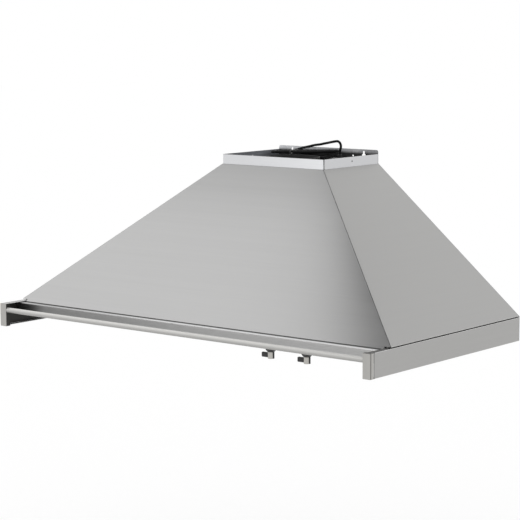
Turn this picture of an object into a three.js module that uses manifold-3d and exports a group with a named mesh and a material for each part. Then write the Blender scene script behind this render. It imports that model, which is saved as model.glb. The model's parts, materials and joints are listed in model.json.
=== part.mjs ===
// Canopy range hood for a wall, 1214 mm wide.
// Millimetres, +Z up, +X to the right, the front towards -Y. The wall is the plane y = 0.
// Everything is drawn from the lower edge of the base (z = 0), and the last group then moves
// it all down, so that the origin is the middle of the line the hood hangs on.

import * as THREE from 'three';
import { mergeVertices } from 'three/addons/utils/BufferGeometryUtils.js';
import { ConvexGeometry } from 'three/addons/geometries/ConvexGeometry.js';
import Module from 'manifold-3d';

// ---------------------------------------------------------------- driving dimensions

const FIT = 0.3;                  // gap left between pieces that touch
const SKIN = 1.0;                 // canopy sheet
const SHEET = 1.2;                // base, back and top plate sheet
const STRIP = 1.0;                // collar sheet

// base frame
const HOOD_WIDTH = 1214;
const BASE_HEIGHT = 60;
const WING_LENGTH = 631;          // side panels, from the wall to the end blocks
const WING_TOP_FLANGE = 18;
const WING_BOTTOM_FLANGE = 12;
const BLOCK_WIDTH = 22.4;
const BLOCK_DEPTH = 15;
const BLOCK_EDGE = 1.5;           // rounded edges of the end blocks
const BLOCK_GROOVE = 1.2;         // width of the two grooves in a block's outer face
const BLOCK_GROOVE_DEPTH = 1.6;
const RAIL_DIAMETER = 13.5;
const RAIL_WALL = 1.2;
const RAIL_HEIGHT = 43;           // rail's centre above the base's lower edge
const RAIL_SOCKET_DEPTH = 8;
const RAIL_BORE_REACH = 20;       // socket's cut, with its overrun inwards

// canopy
const CANOPY_TOP_HEIGHT = 428;
const CANOPY_TOP_WIDTH = 337;
const CANOPY_INSET = 0.6;         // canopy's foot, inside the side panels' outer faces
const CANOPY_SETBACK = 22;        // canopy's foot in front, behind the fascia's face
const SIDE_SHADOW_GAP = 2.8;      // dark line between side panel and canopy
const FRONT_SHADOW_GAP = 1.4;     // dark line between front ledge and canopy
const HIP_GAP = 0.5;              // canopy sheets held back from their common corner
const FOOT_STEP = 9;              // width of the canopy foot's raised part
const FOOT_SEAT = 7;              // width of the part that sits on the base

// front fascia with the control shelf
const FASCIA_SETBACK = 41;        // front face, behind the side panels' ends
const LEDGE_HEIGHT = 56.2;
const LEDGE_WIDTH = 40;
const SHELF_HEIGHT = 26;          // underside of the control shelf
const SHELF_DEPTH = 118;          // from the fascia's face to its rear edge
const SHELF_LIP = 17;             // upstand along the rear edge

// collar and hanger
const COLLAR_RISE = 25.8;         // above the canopy
const COLLAR_SIDE_INSET = 1.3;    // inside the canopy's upper edge, at the sides
const COLLAR_FRONT_INSET = 1.6;   // inside the canopy's upper edge, in front
const COLLAR_CORNER_GAP = 3;      // between the front strip and the side strips
const COLLAR_TUCK = 16;           // height of the strips inside the canopy
const COLLAR_SCREW_DEPTH = 117;   // chimney screw in the side strips, from the wall
const COLLAR_SCREW_DROP = 11.6;   // below the strips' upper edge
const COLLAR_SCREW_DIAMETER = 4;
const HANGER_RISE = 10.5;         // back panel above the collar
const HANGER_CORNER = 5;
const KEYHOLE_SPACING = 241.6;
const KEYHOLE_SLOT = 6;
const KEYHOLE_HEAD = 14;
const KEYHOLE_DROP = 11.5;        // head's centre below the screw's seat
const SCREW_SEAT_DROP = 6.8;      // screw's seat below the hanger's upper edge
const FIXING_SPACING = 171;       // small holes for fixing screws, between the keyholes
const FIXING_DIAMETER = 5;
const FIXING_DROP = 11.1;         // below the keyholes' screw seats

// top plate and duct connection
const PLATE_RISE = 2;             // plate's upper face above the canopy's upper edge
const PLATE_FLANGE = 12;
const DUCT_RADIUS = 75;
const DUCT_WALL = 2.5;
const DUCT_GAP = 1.9;             // between the folded cord and the ring's flange
const DUCT_FRONT_MARGIN = 2.4;    // between the ring's flange and the collar's front face
const DUCT_RISE = 19;             // ring above the plate
const DUCT_FLANGE = 5;
const DUCT_FLANGE_THICK = 2.5;
const DAMPER_HEIGHT = 4;          // damper's axis above the plate
const DAMPER_SHEET = 1.2;
const DAMPER_PIN_RADIUS = 1.5;
const PIN_SOCKET = 1.2;           // pin's ends in the ring's wall
const KNUCKLE_RADIUS = 3;
const KNUCKLE_HALF = 22;          // half length of the rear flap's knuckle

// baffle filters
const FILTER_COUNT = 3;
const FILTER_GAP = 3;
const FILTER_REAR = 38;           // rear edge, from the wall
const FILTER_FRONT_GAP = 5;       // between the filters and the shelf's rear edge
const FILTER_DROP = 13;           // underside below the control shelf's
const FILTER_THICK = 18;
const FILTER_SHEET = 1.0;
const FILTER_BAR = 14;
const FILTER_FRONT_BAR = 26;
const BAFFLE_COUNT = 9;
const BAFFLE_WIDTH = 26;
const FILTER_LEDGE = 44;          // rear rail's ledge, from the wall
const REAR_FLANGE = 22;           // rear rail's upper flange, from the wall
const LATCH_WIDTH = 18;
const LATCH_REACH = 5;            // tongue beyond the shelf's lip
const LATCH_STEM = 4.1;           // from the filter down to the pull
const LATCH_PULL = 3.2;           // thickness of the pull

// lamps
const LAMP_INSET = 177;           // lamp's middle from the hood's side
const LAMP_SETBACK = 62;          // lamp's middle behind the fascia's face
const LAMP_RADIUS = 30;
const LAMP_RIM = 4.5;
const LAMP_HEIGHT = 24;
const LENS_THICK = 2.4;

// controls
const KNOB_SETBACK = 13;          // behind the fascia's face
const KNOB_INSET = { fan: 342.7, light: 233.4 };   // from the hood's right side
const KNOB_SKIRT_RADIUS = 13.5;
const KNOB_SKIRT_HEIGHT = 8.3;
const KNOB_RIM = 3;               // upright rim of the skirt
const KNOB_SLEEVE_RADIUS = 8;
const KNOB_CORE_RADIUS = 6;
const KNOB_BOTTOM = 0.4;
const KNOB_LEVER = 27;
const KNOB_LEVER_WIDTH = 8;
const KNOB_LEVER_BOTTOM = 2;
const KNOB_LEVER_TOP = 14;
const KNOB_TAIL = 9;
const KNOB_TAIL_WIDTH = 5;
const KNOB_CLEARANCE = 0.5;       // skirt below the shelf
const SPINDLE_RADIUS = 3;
const SWITCH_SIZE = 28;
const SWITCH_HEIGHT = 19;

// blower
const WHEEL_RADIUS = 80;
const WHEEL_HALF = 66;
const BLADE_COUNT = 24;
const BLADE_DEPTH = 13;
const BLADE_THICK = 1.2;
const SCROLL_HALF = 74;
const SCROLL_SHEET = 1.0;
const SCROLL_OFFSET = 50;         // wheel's axis behind the duct's
const SCROLL_DROP = 128;          // wheel's axis below the canopy's upper edge
const SCROLL_INNER = 85;          // spiral's radius at the tongue
const SCROLL_OUTER = 120;         // spiral's radius at the front wall
const TONGUE_ANGLE = 110;         // degrees, from the rear towards the top
const SCROLL_LIP = 3;
const INLET_RADIUS = 60;
const INLET_DEPTH = 12;           // bell mouth into the wheel
const INLET_RIM = 14;             // rim outside the mouth
const INLET_SHEET = 1.0;
const MOTOR_RADIUS = 42;
const SHAFT_RADIUS = 4;
const BLOWER_FLANGE = 14;
const OUTLET_MARGIN = 3;          // blower's outlet beyond the duct ring, at the rear
const CAPACITOR_RADIUS = 15;
const CAPACITOR_LENGTH = 52;
const CAPACITOR_PLACE = { forward: 84, down: 50 };   // from the wheel's axis

// wiring box and cord
const BOX_WIDTH = 62;
const BOX_REAR = 15;              // from the wall
const BOX_OUTLET_GAP = 5;         // behind the blower's outlet
const BOX_DEPTH = 34;
const BOX_SHEET = 1.0;
const GLAND = { x: 77.4, y: -50, base: 9.5, tip: 5.2, height: 22 };
const CORD_DIAMETER = 6.6;
const TIE_THICK = 0.8;
const TIE_WIDTH = 6;
const HANK_X = -47;
const HANK_WALL_GAP = 1.6;        // between the outer loops and the back panel
const HANK_HALF_RUN = 75;
const TIE_SHARE = -0.4;           // the tie's place along half a run, from the middle
const HANK_PITCH = 7.5;
const HANK_LAYER_RISE = 15.7;     // upper layer above the lower one
const HANK_PINCH = 8.5;           // how far the tie draws the lower layer up to the other
const HANK_TILT = 0.045;          // rise of the hank towards the gland, for its length
const HANK_INNER = 19.9;          // radius of the tightest fold, three cord diameters
const HANK_WAIST = 9;             // how far the tie draws the runs in
const PLUG = { width: 25, height: 19, length: 38, x: 122, y: -104 };
const CONTROL_CABLE_DIAMETER = 8;
const CABLE_CLEARANCE = 6;        // off the front sheet
const CABLE_ENTRY = { side: 12, height: 14, run: 14 };   // into the wiring box
const CABLE_FOOT = { side: 5, height: 57 };              // where it meets the front sheet
const CABLE_HEAD = { side: 26, height: 24 };             // where it leaves the sheet
const CABLE_BEND = { side: 17, back: 24, height: 3 };

// ---------------------------------------------------------------- colours

const STEEL = { color: 0xb4b3b0, roughness: 0.34, metalness: 1 };
const STEEL_BRIGHT = { color: 0xdfe1e4, roughness: 0.3, metalness: 1 };
const STEEL_WARM = { color: 0xb2afa6, roughness: 0.36, metalness: 1 };
const GALVANISED = { color: 0x9a9da0, roughness: 0.5, metalness: 0.9 };
const BLACK_PLASTIC = { color: 0x17171a, roughness: 0.45, metalness: 0 };
const BLACK_CORD = { color: 0x1b1c1f, roughness: 0.5, metalness: 0 };
const GREY_PLASTIC = { color: 0x55585c, roughness: 0.5, metalness: 0 };
const LENS_GLASS = { color: 0xe9eef0, roughness: 0.15, metalness: 0 };

// ---------------------------------------------------------------- helpers

const wasm = await Module();
wasm.setup();

const hood = new THREE.Group();

// A geometry with shared corners, no empty triangles and its faces outwards.
function closed(geometry) {
  const bare = geometry.clone();
  bare.deleteAttribute('normal');
  bare.deleteAttribute('uv');
  const merged = mergeVertices(bare, 1e-4);
  const place = merged.getAttribute('position');
  const corner = (i) => new THREE.Vector3().fromBufferAttribute(place, i);
  const kept = [];
  let volume = 0;
  for (let i = 0; i < merged.index.count; i += 3) {
    const [a, b, c] = [0, 1, 2].map((k) => merged.index.getX(i + k));
    if (a === b || b === c || c === a) continue;
    volume += corner(a).dot(corner(b).cross(corner(c)));
    kept.push(a, b, c);
  }
  if (volume < 0) kept.reverse();
  merged.setIndex(kept);
  return merged;
}

function solid(geometry) {
  const shape = closed(geometry);
  const vertProperties = Float32Array.from(shape.getAttribute('position').array);
  const triVerts = Uint32Array.from(shape.index.array);
  return new wasm.Manifold(new wasm.Mesh({ numProp: 3, vertProperties, triVerts }));
}

function surface(manifold) {
  const mesh = manifold.getMesh();
  const geometry = new THREE.BufferGeometry();
  geometry.setAttribute('position', new THREE.BufferAttribute(mesh.vertProperties, 3));
  geometry.setIndex(new THREE.BufferAttribute(mesh.triVerts, 1));
  return geometry;
}

function join(...geometries) {
  return surface(geometries.map(solid).reduce((a, b) => a.add(b)));
}

function cut(geometry, ...tools) {
  return surface(tools.map(solid).reduce((a, b) => a.subtract(b), solid(geometry)));
}

function add(name, geometry, look, parent = hood) {
  const mesh = new THREE.Mesh(closed(geometry), new THREE.MeshStandardMaterial(look));
  mesh.name = name;
  parent.add(mesh);
  return mesh;
}

function outline(points, holes = []) {
  const shape = new THREE.Shape(points.map(([u, v]) => new THREE.Vector2(u, v)));
  shape.holes = holes.map((hole) => new THREE.Path(hole.map(([u, v]) => new THREE.Vector2(u, v))));
  return shape;
}

function extrude(shape, depth) {
  return new THREE.ExtrudeGeometry(shape, { depth, bevelEnabled: false, curveSegments: 12 });
}

// Prisms from an outline: [x, y] along Z, [y, z] along X and [x, z] along Y.
function prismZ(points, low, high, holes) {
  return extrude(outline(points, holes), high - low).translate(0, 0, low);
}

function prismX(points, low, high, holes) {
  const turn = new THREE.Matrix4().makeBasis(
    new THREE.Vector3(0, 1, 0), new THREE.Vector3(0, 0, 1), new THREE.Vector3(1, 0, 0));
  return extrude(outline(points, holes), high - low).applyMatrix4(turn).translate(low, 0, 0);
}

function prismY(points, low, high, holes) {
  const turn = new THREE.Matrix4().makeBasis(
    new THREE.Vector3(1, 0, 0), new THREE.Vector3(0, 0, 1), new THREE.Vector3(0, -1, 0));
  return extrude(outline(points, holes), high - low).applyMatrix4(turn).translate(0, high, 0);
}

function box(x, y, z) {
  const size = [x, y, z].map(([low, high]) => high - low);
  const middle = [x, y, z].map(([low, high]) => (low + high) / 2);
  return new THREE.BoxGeometry(...size).translate(...middle);
}

// Turned shapes from [radius, height] points, about Z or about X.
function turnedZ(points, sides = 32) {
  const profile = points.map(([r, h]) => new THREE.Vector2(r, h));
  return new THREE.LatheGeometry(profile, sides).rotateX(Math.PI / 2);
}

function turnedX(points, sides = 32) {
  const profile = points.map(([r, h]) => new THREE.Vector2(r, h));
  return new THREE.LatheGeometry(profile, sides).rotateZ(-Math.PI / 2);
}

function rod(radius, low, high, sides = 24) {
  return turnedZ([[0, low], [radius, low], [radius, high], [0, high]], sides);
}

function circle(radius, cx, cy, sides = 32) {
  const step = (2 * Math.PI) / sides;
  return Array.from({ length: sides }, (_, i) =>
    [cx + radius * Math.cos(i * step), cy + radius * Math.sin(i * step)]);
}

const rad = (degrees) => (degrees * Math.PI) / 180;

// ---------------------------------------------------------------- places worked out

const HALF = HOOD_WIDTH / 2;
const CORD_RADIUS = CORD_DIAMETER / 2;
// turns of the folded cord's spiral, of which part is the fold at each end
const HANK_TURNS = 3.5;
const FOLD = 7 / 24;
const CLIMB = [1 + 19 / 24, 2];   // turns between which it changes from one layer to the other

// From the wall to the front, what the collar holds sets its depth.
const HANK_REACH = HANK_INNER + HANK_PITCH * CLIMB[0];
const HANK_Y = -(SHEET + HANK_WALL_GAP + CORD_RADIUS + HANK_REACH);
const DUCT_CENTRE = HANK_REACH + CORD_RADIUS - HANK_Y + DUCT_GAP + DUCT_FLANGE + DUCT_RADIUS;
const COLLAR_DEPTH = DUCT_CENTRE + DUCT_RADIUS + DUCT_FLANGE + DUCT_FRONT_MARGIN;
const CANOPY_TOP_DEPTH = COLLAR_DEPTH + COLLAR_FRONT_INSET;
const SCROLL_CENTRE = DUCT_CENTRE - SCROLL_OFFSET;
const SCROLL_HEIGHT = CANOPY_TOP_HEIGHT - SCROLL_DROP;
const OUTLET_REAR = -(DUCT_CENTRE - DUCT_RADIUS - OUTLET_MARGIN);
const BOX_X = [GLAND.x - BOX_WIDTH / 2, GLAND.x + BOX_WIDTH / 2];
const BOX_Y = [OUTLET_REAR + BOX_OUTLET_GAP, -BOX_REAR];

// The side panels' length sets everything in front.
const FASCIA_DEPTH = WING_LENGTH - FASCIA_SETBACK;
const CANOPY_DEPTH = FASCIA_DEPTH - CANOPY_SETBACK;
const SHELF_REAR = FASCIA_DEPTH - SHELF_DEPTH;
const FILTER_FRONT = SHELF_REAR - FILTER_FRONT_GAP;
const LAMP_DEPTH = FASCIA_DEPTH - LAMP_SETBACK;
const LAMP_SPACING = HOOD_WIDTH - 2 * LAMP_INSET;
const KNOB_DEPTH = FASCIA_DEPTH - KNOB_SETBACK;
const KNOB_X = { fan: HALF - KNOB_INSET.fan, light: HALF - KNOB_INSET.light };
const FILTER_BOTTOM = SHELF_HEIGHT - FILTER_DROP;

const BACK_FACE = -SHEET;                                   // front side of the back panel
const BEHIND = BACK_FACE - FIT;                             // where the pieces in front of it end
const SIDE_FOOT_Z = BASE_HEIGHT + SIDE_SHADOW_GAP;
const FRONT_FOOT_Z = LEDGE_HEIGHT + FRONT_SHADOW_GAP;
const COLLAR_TOP = CANOPY_TOP_HEIGHT + COLLAR_RISE;
const HANGER_TOP = COLLAR_TOP + HANGER_RISE;
const HANG_Z = HANGER_TOP - SCREW_SEAT_DROP;                // where the wall screws carry the hood
const PLATE_TOP = CANOPY_TOP_HEIGHT + PLATE_RISE;
const PLATE_BOTTOM = PLATE_TOP - SHEET;
const COLLAR_HALF = CANOPY_TOP_WIDTH / 2 - COLLAR_SIDE_INSET;
const COLLAR_INSIDE = COLLAR_HALF - STRIP;
const UNDER_PLATE = PLATE_BOTTOM - FIT;

// Slopes of the canopy: run outwards for each millimetre down, and the outward normals.
const SIDE_RUN = (HALF - CANOPY_INSET - CANOPY_TOP_WIDTH / 2) / (CANOPY_TOP_HEIGHT - SIDE_FOOT_Z);
const FRONT_RUN = (CANOPY_DEPTH - CANOPY_TOP_DEPTH) / (CANOPY_TOP_HEIGHT - FRONT_FOOT_Z);
const SIDE_LEAN = Math.hypot(1, SIDE_RUN);
const FRONT_LEAN = Math.hypot(1, FRONT_RUN);

// The canopy's faces at a height, or the faces `inset` below them, square to the sheet.
const sideX = (z, inset = 0) =>
  CANOPY_TOP_WIDTH / 2 + (CANOPY_TOP_HEIGHT - z) * SIDE_RUN - inset * SIDE_LEAN;
const frontY = (z, inset = 0) =>
  -CANOPY_TOP_DEPTH - (CANOPY_TOP_HEIGHT - z) * FRONT_RUN + inset * FRONT_LEAN;

// ---------------------------------------------------------------- canopy panels

// A sheet between its outer corners and its inner corners.
function sheetBetween(outer, inner) {
  const corners = [...outer, ...inner].map(([x, y, z]) => new THREE.Vector3(x, y, z));
  return new ConvexGeometry(corners);
}

// Height of a sheet's inner corner at the upper edge, which is cut square to the sheet.
const innerTop = (run, lean) => CANOPY_TOP_HEIGHT - (SKIN * run) / lean;

function canopySide() {
  const face = (inset, top) => [
    [sideX(SIDE_FOOT_Z, inset), BEHIND, SIDE_FOOT_Z],
    [sideX(SIDE_FOOT_Z, inset), frontY(SIDE_FOOT_Z, inset) + HIP_GAP, SIDE_FOOT_Z],
    [sideX(top, inset), frontY(top, inset) + HIP_GAP, top],
    [sideX(top, inset), BEHIND, top],
  ];
  const skin = sheetBetween(face(0, CANOPY_TOP_HEIGHT), face(SKIN, innerTop(SIDE_RUN, SIDE_LEAN)));
  const outside = sideX(SIDE_FOOT_Z) - SKIN;
  const step = outside - FOOT_STEP;
  const seat = BASE_HEIGHT + FIT;
  const foot = prismY([
    [outside, SIDE_FOOT_Z], [outside, SIDE_FOOT_Z + SKIN], [step - SKIN, SIDE_FOOT_Z + SKIN],
    [step - SKIN, seat + SKIN], [step - FOOT_SEAT, seat + SKIN], [step - FOOT_SEAT, seat],
    [step, seat], [step, SIDE_FOOT_Z],
  ], frontY(SIDE_FOOT_Z, SKIN) + 2, BEHIND);
  return join(skin, foot);
}

function canopyFront() {
  const face = (inset, top) => [
    [-sideX(SIDE_FOOT_Z, inset) + HIP_GAP, frontY(SIDE_FOOT_Z, inset), SIDE_FOOT_Z],
    [sideX(SIDE_FOOT_Z, inset) - HIP_GAP, frontY(SIDE_FOOT_Z, inset), SIDE_FOOT_Z],
    [sideX(top, inset) - HIP_GAP, frontY(top, inset), top],
    [-sideX(top, inset) + HIP_GAP, frontY(top, inset), top],
  ];
  const skin = sheetBetween(face(0, CANOPY_TOP_HEIGHT), face(SKIN, innerTop(FRONT_RUN, FRONT_LEAN)));
  // below the side panels' flanges the sheet is narrower, and drops to the front ledge
  const apron = HALF - WING_TOP_FLANGE - 2 * FIT;
  const strip = (inset) => [FRONT_FOOT_Z, SIDE_FOOT_Z + SKIN].flatMap((z) =>
    [-apron, apron].map((x) => [x, frontY(z, inset), z]));
  const outside = frontY(FRONT_FOOT_Z) + SKIN;
  const step = outside + FOOT_STEP;
  const seat = LEDGE_HEIGHT + FIT;
  const foot = prismX([
    [outside, FRONT_FOOT_Z], [step, FRONT_FOOT_Z], [step, seat], [step + FOOT_SEAT, seat],
    [step + FOOT_SEAT, seat + SKIN], [step + SKIN, seat + SKIN],
    [step + SKIN, FRONT_FOOT_Z + SKIN], [outside, FRONT_FOOT_Z + SKIN],
  ], -apron, apron);
  return join(skin, sheetBetween(strip(0), strip(SKIN)), foot);
}

// Back panel: the hood's outline from behind, with the hanger and its keyholes at the top.
function backPanel() {
  const foot = BASE_HEIGHT + FIT / 2;
  const shoulder = CANOPY_TOP_HEIGHT - (COLLAR_HALF - CANOPY_TOP_WIDTH / 2) / SIDE_RUN;
  const right = [
    [sideX(SIDE_FOOT_Z), foot], [sideX(SIDE_FOOT_Z), SIDE_FOOT_Z], [COLLAR_HALF, shoulder],
  ];
  for (let i = 0; i <= 4; i += 1) {
    const turn = rad(i * 22.5);
    right.push([
      COLLAR_HALF - HANGER_CORNER * (1 - Math.cos(turn)),
      HANGER_TOP - HANGER_CORNER * (1 - Math.sin(turn)),
    ]);
  }
  const left = right.map(([x, z]) => [-x, z]).reverse();
  const holes = [-1, 1].flatMap((side) => [
    keyhole((side * KEYHOLE_SPACING) / 2),
    circle(FIXING_DIAMETER / 2, (side * FIXING_SPACING) / 2, HANG_Z - FIXING_DROP, 12),
  ]);
  return prismY([...right, ...left], BACK_FACE, 0, holes);
}

// A round head for the screw's head, and a narrow slot above it that ends in a half round.
function keyhole(x) {
  const narrow = KEYHOLE_SLOT / 2;
  const wide = KEYHOLE_HEAD / 2;
  const headZ = HANG_Z - KEYHOLE_DROP;
  const meet = Math.asin(narrow / wide);
  const points = [];
  for (let i = 0; i <= 20; i += 1) {
    const turn = Math.PI / 2 + meet + ((2 * Math.PI - 2 * meet) * i) / 20;
    points.push([x + wide * Math.cos(turn), headZ + wide * Math.sin(turn)]);
  }
  for (let i = 0; i <= 8; i += 1) {
    const turn = (Math.PI * i) / 8;
    points.push([x + narrow * Math.cos(turn), HANG_Z + narrow * Math.sin(turn)]);
  }
  return points;
}

// ---------------------------------------------------------------- collar

function collarFront() {
  return box([-COLLAR_HALF, COLLAR_HALF], [-COLLAR_DEPTH, -COLLAR_DEPTH + STRIP],
    [CANOPY_TOP_HEIGHT - COLLAR_TUCK, COLLAR_TOP]);
}

function collarSide() {
  const strip = box([COLLAR_INSIDE, COLLAR_HALF], [-COLLAR_DEPTH + STRIP + COLLAR_CORNER_GAP, BEHIND],
    [CANOPY_TOP_HEIGHT - COLLAR_TUCK, COLLAR_TOP]);
  const drill = turnedX([[0, -4], [COLLAR_SCREW_DIAMETER / 2, -4], [COLLAR_SCREW_DIAMETER / 2, 4], [0, 4]], 16)
    .translate(COLLAR_HALF, -COLLAR_SCREW_DEPTH, COLLAR_TOP - COLLAR_SCREW_DROP);
  return cut(strip, drill);
}

// ---------------------------------------------------------------- top plate and duct

function topPlate() {
  const x = COLLAR_INSIDE - FIT;
  const front = -COLLAR_DEPTH + STRIP + FIT;
  const ductHole = circle(DUCT_RADIUS + FIT, 0, -DUCT_CENTRE, 48);
  const glandHole = circle(GLAND.tip + 1.6, GLAND.x, GLAND.y, 16);
  const sheet = prismZ([[-x, front], [x, front], [x, BEHIND], [-x, BEHIND]],
    PLATE_BOTTOM, PLATE_TOP, [ductHole, glandHole]);
  const drop = [PLATE_TOP - PLATE_FLANGE, PLATE_TOP - SHEET / 2];
  const flanges = [
    box([-x, -x + SHEET], [front, BEHIND], drop),
    box([x - SHEET, x], [front, BEHIND], drop),
    box([-x, x], [front, front + SHEET], drop),
  ];
  return join(sheet, ...flanges);
}

const DUCT_TOP = PLATE_TOP + DUCT_RISE;
const DAMPER_Z = PLATE_TOP + DAMPER_HEIGHT;
const DUCT_INSIDE = DUCT_RADIUS - DUCT_WALL;
const FLAP_STOP = DAMPER_Z - DAMPER_SHEET / 2 - FIT;

// The damper's pin, `grow` larger all over.
function pinShape(grow) {
  const half = DUCT_INSIDE + PIN_SOCKET - FIT + grow;
  const r = DAMPER_PIN_RADIUS + grow;
  return turnedX([[0, -half], [r, -half], [r, half], [0, half]], 16)
    .translate(0, -DUCT_CENTRE, DAMPER_Z);
}

function ductRing() {
  const seat = PLATE_TOP + FIT;
  const ring = turnedZ([
    [DUCT_INSIDE, PLATE_BOTTOM], [DUCT_RADIUS, PLATE_BOTTOM], [DUCT_RADIUS, seat],
    [DUCT_RADIUS + DUCT_FLANGE, seat], [DUCT_RADIUS + DUCT_FLANGE, seat + DUCT_FLANGE_THICK],
    [DUCT_RADIUS, seat + DUCT_FLANGE_THICK], [DUCT_RADIUS, DUCT_TOP], [DUCT_INSIDE, DUCT_TOP],
    [DUCT_INSIDE, FLAP_STOP], [DUCT_INSIDE - 2, FLAP_STOP], [DUCT_INSIDE - 2, FLAP_STOP - 1.5],
    [DUCT_INSIDE, FLAP_STOP - 3], [DUCT_INSIDE, PLATE_BOTTOM],
  ], 48).translate(0, -DUCT_CENTRE, 0);
  return cut(ring, pinShape(FIT));
}

// Half a disc on the side `way` of the pin, with its knuckles on the pin.
function damperFlap(way, knuckles, others) {
  const reach = DUCT_INSIDE - 1;
  const disc = [];
  for (let i = 0; i <= 20; i += 1) {
    const turn = (Math.PI * i) / 20;
    disc.push([reach * Math.cos(turn), way * Math.max(reach * Math.sin(turn), DAMPER_PIN_RADIUS + 0.6)]);
  }
  const low = -DAMPER_SHEET / 2;
  let flap = solid(prismZ(way > 0 ? disc : disc.reverse(), low, -low));
  const tube = ([from, to], radius) => turnedX([[0, from], [radius, from], [radius, to], [0, to]], 16);
  for (const span of knuckles) flap = flap.add(solid(tube(span, KNUCKLE_RADIUS)));
  const room = KNUCKLE_RADIUS + 0.8;
  for (const [from, to] of others) {
    flap = flap.subtract(solid(box([from - 0.6, to + 0.6], [-room, room], [-room, room])));
  }
  flap = flap.subtract(solid(tube([-reach - 2, reach + 2], DAMPER_PIN_RADIUS + 0.2)));
  return surface(flap).translate(0, -DUCT_CENTRE, DAMPER_Z);
}

// ---------------------------------------------------------------- base frame

function sidePanel() {
  const x = HALF - SHEET;
  return prismY([
    [HALF, 0], [HALF, BASE_HEIGHT], [HALF - WING_TOP_FLANGE, BASE_HEIGHT],
    [HALF - WING_TOP_FLANGE, BASE_HEIGHT - SHEET], [x, BASE_HEIGHT - SHEET], [x, SHEET],
    [HALF - WING_BOTTOM_FLANGE, SHEET], [HALF - WING_BOTTOM_FLANGE, 0],
  ], -WING_LENGTH, BEHIND);
}

const RAIL_Y = -(WING_LENGTH + BLOCK_DEPTH / 2);
const BLOCK_INNER = HALF - BLOCK_WIDTH;

function endBlock() {
  const back = -WING_LENGTH - FIT;
  const front = -WING_LENGTH - BLOCK_DEPTH;
  const e = BLOCK_EDGE;
  const corner = (cx, cy, from) => [0, 1, 2, 3].map((i) => {
    const turn = rad(from + i * 30);
    return [cx + e * Math.cos(turn), cy + e * Math.sin(turn)];
  });
  const bottom = HALF - BLOCK_GROOVE_DEPTH;
  const groove = front + e + FIT;
  const plan = [
    [bottom, back], [BLOCK_INNER, back],
    ...corner(BLOCK_INNER + e, front + e, 180), ...corner(HALF - e, front + e, 270),
    [HALF, groove], [bottom, groove], [bottom, groove + BLOCK_GROOVE], [HALF, groove + BLOCK_GROOVE],
    [HALF, back - BLOCK_GROOVE], [bottom, back - BLOCK_GROOVE],
  ];
  const socket = turnedX([
    [0, 0], [RAIL_DIAMETER / 2 + FIT, 0], [RAIL_DIAMETER / 2 + FIT, RAIL_BORE_REACH], [0, RAIL_BORE_REACH],
  ], 24).translate(BLOCK_INNER + RAIL_SOCKET_DEPTH - RAIL_BORE_REACH, RAIL_Y, RAIL_HEIGHT);
  return cut(prismZ(plan, 0, BASE_HEIGHT), socket);
}

function frontRail() {
  const half = BLOCK_INNER + RAIL_SOCKET_DEPTH - FIT;
  const outer = RAIL_DIAMETER / 2;
  const inner = outer - RAIL_WALL;
  return turnedX([[inner, -half], [outer, -half], [outer, half], [inner, half], [inner, -half]], 32)
    .translate(0, RAIL_Y, RAIL_HEIGHT);
}

const BETWEEN_WINGS = HALF - SHEET - FIT;
const SHELF_TOP = SHELF_HEIGHT + SHEET;
const filterPitch = (2 * (HALF - WING_TOP_FLANGE) - FILTER_GAP) / FILTER_COUNT;
const filterWidth = filterPitch - FILTER_GAP;
const filterX = Array.from({ length: FILTER_COUNT }, (_, i) => (i - (FILTER_COUNT - 1) / 2) * filterPitch);
const TONGUE_Z = [SHELF_TOP + 0.5, SHELF_TOP + 2.5];
const LATCH_TRAVEL = 8;

// One bent sheet: ledge, front face, control shelf and the upstand in front of the filters.
function frontFascia() {
  const front = -FASCIA_DEPTH;
  const rear = -SHELF_REAR;
  const sheet = prismX([
    [front, SHELF_HEIGHT], [rear, SHELF_HEIGHT], [rear, SHELF_TOP + SHELF_LIP],
    [rear - SHEET, SHELF_TOP + SHELF_LIP], [rear - SHEET, SHELF_TOP], [front + SHEET, SHELF_TOP],
    [front + SHEET, LEDGE_HEIGHT - SHEET], [front + LEDGE_WIDTH, LEDGE_HEIGHT - SHEET],
    [front + LEDGE_WIDTH, LEDGE_HEIGHT], [front, LEDGE_HEIGHT],
  ], -BETWEEN_WINGS, BETWEEN_WINGS);
  const drills = Object.values(KNOB_X).map((x) =>
    rod(SPINDLE_RADIUS + 1.5, SHELF_HEIGHT - 2, SHELF_TOP + 2, 16).translate(x, -KNOB_DEPTH, 0));
  const lamps = [-1, 1].map((side) =>
    rod(LAMP_RADIUS + FIT, SHELF_HEIGHT - 2, SHELF_TOP + 2, 32)
      .translate((side * LAMP_SPACING) / 2, -LAMP_DEPTH, 0));
  const strikes = filterX.map((x) =>
    box([x - LATCH_WIDTH / 2 - 1, x + LATCH_WIDTH / 2 + 1], [rear - SHEET - 1, rear + 1],
      [TONGUE_Z[0] - FIT, TONGUE_Z[1] + FIT]));
  return cut(sheet, ...drills, ...lamps, ...strikes);
}

// Channel across the wall side, with the ledge on which the filters sit and tilt.
function rearBaseRail() {
  const wall = box([-HALF, HALF], [BACK_FACE, 0], [0, BASE_HEIGHT - FIT / 2]);
  const ledgeTop = FILTER_BOTTOM - FIT;
  const channel = prismX([
    [BACK_FACE / 2, ledgeTop - SHEET], [BACK_FACE / 2, BASE_HEIGHT - SHEET - FIT],
    [-REAR_FLANGE, BASE_HEIGHT - SHEET - FIT], [-REAR_FLANGE, BASE_HEIGHT - 2 * SHEET - FIT],
    [BACK_FACE - SHEET, BASE_HEIGHT - 2 * SHEET - FIT], [BACK_FACE - SHEET, ledgeTop],
    [-FILTER_LEDGE, ledgeTop], [-FILTER_LEDGE, ledgeTop - SHEET],
  ], -BETWEEN_WINGS, BETWEEN_WINGS);
  return join(wall, channel);
}

// ---------------------------------------------------------------- filters

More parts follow.
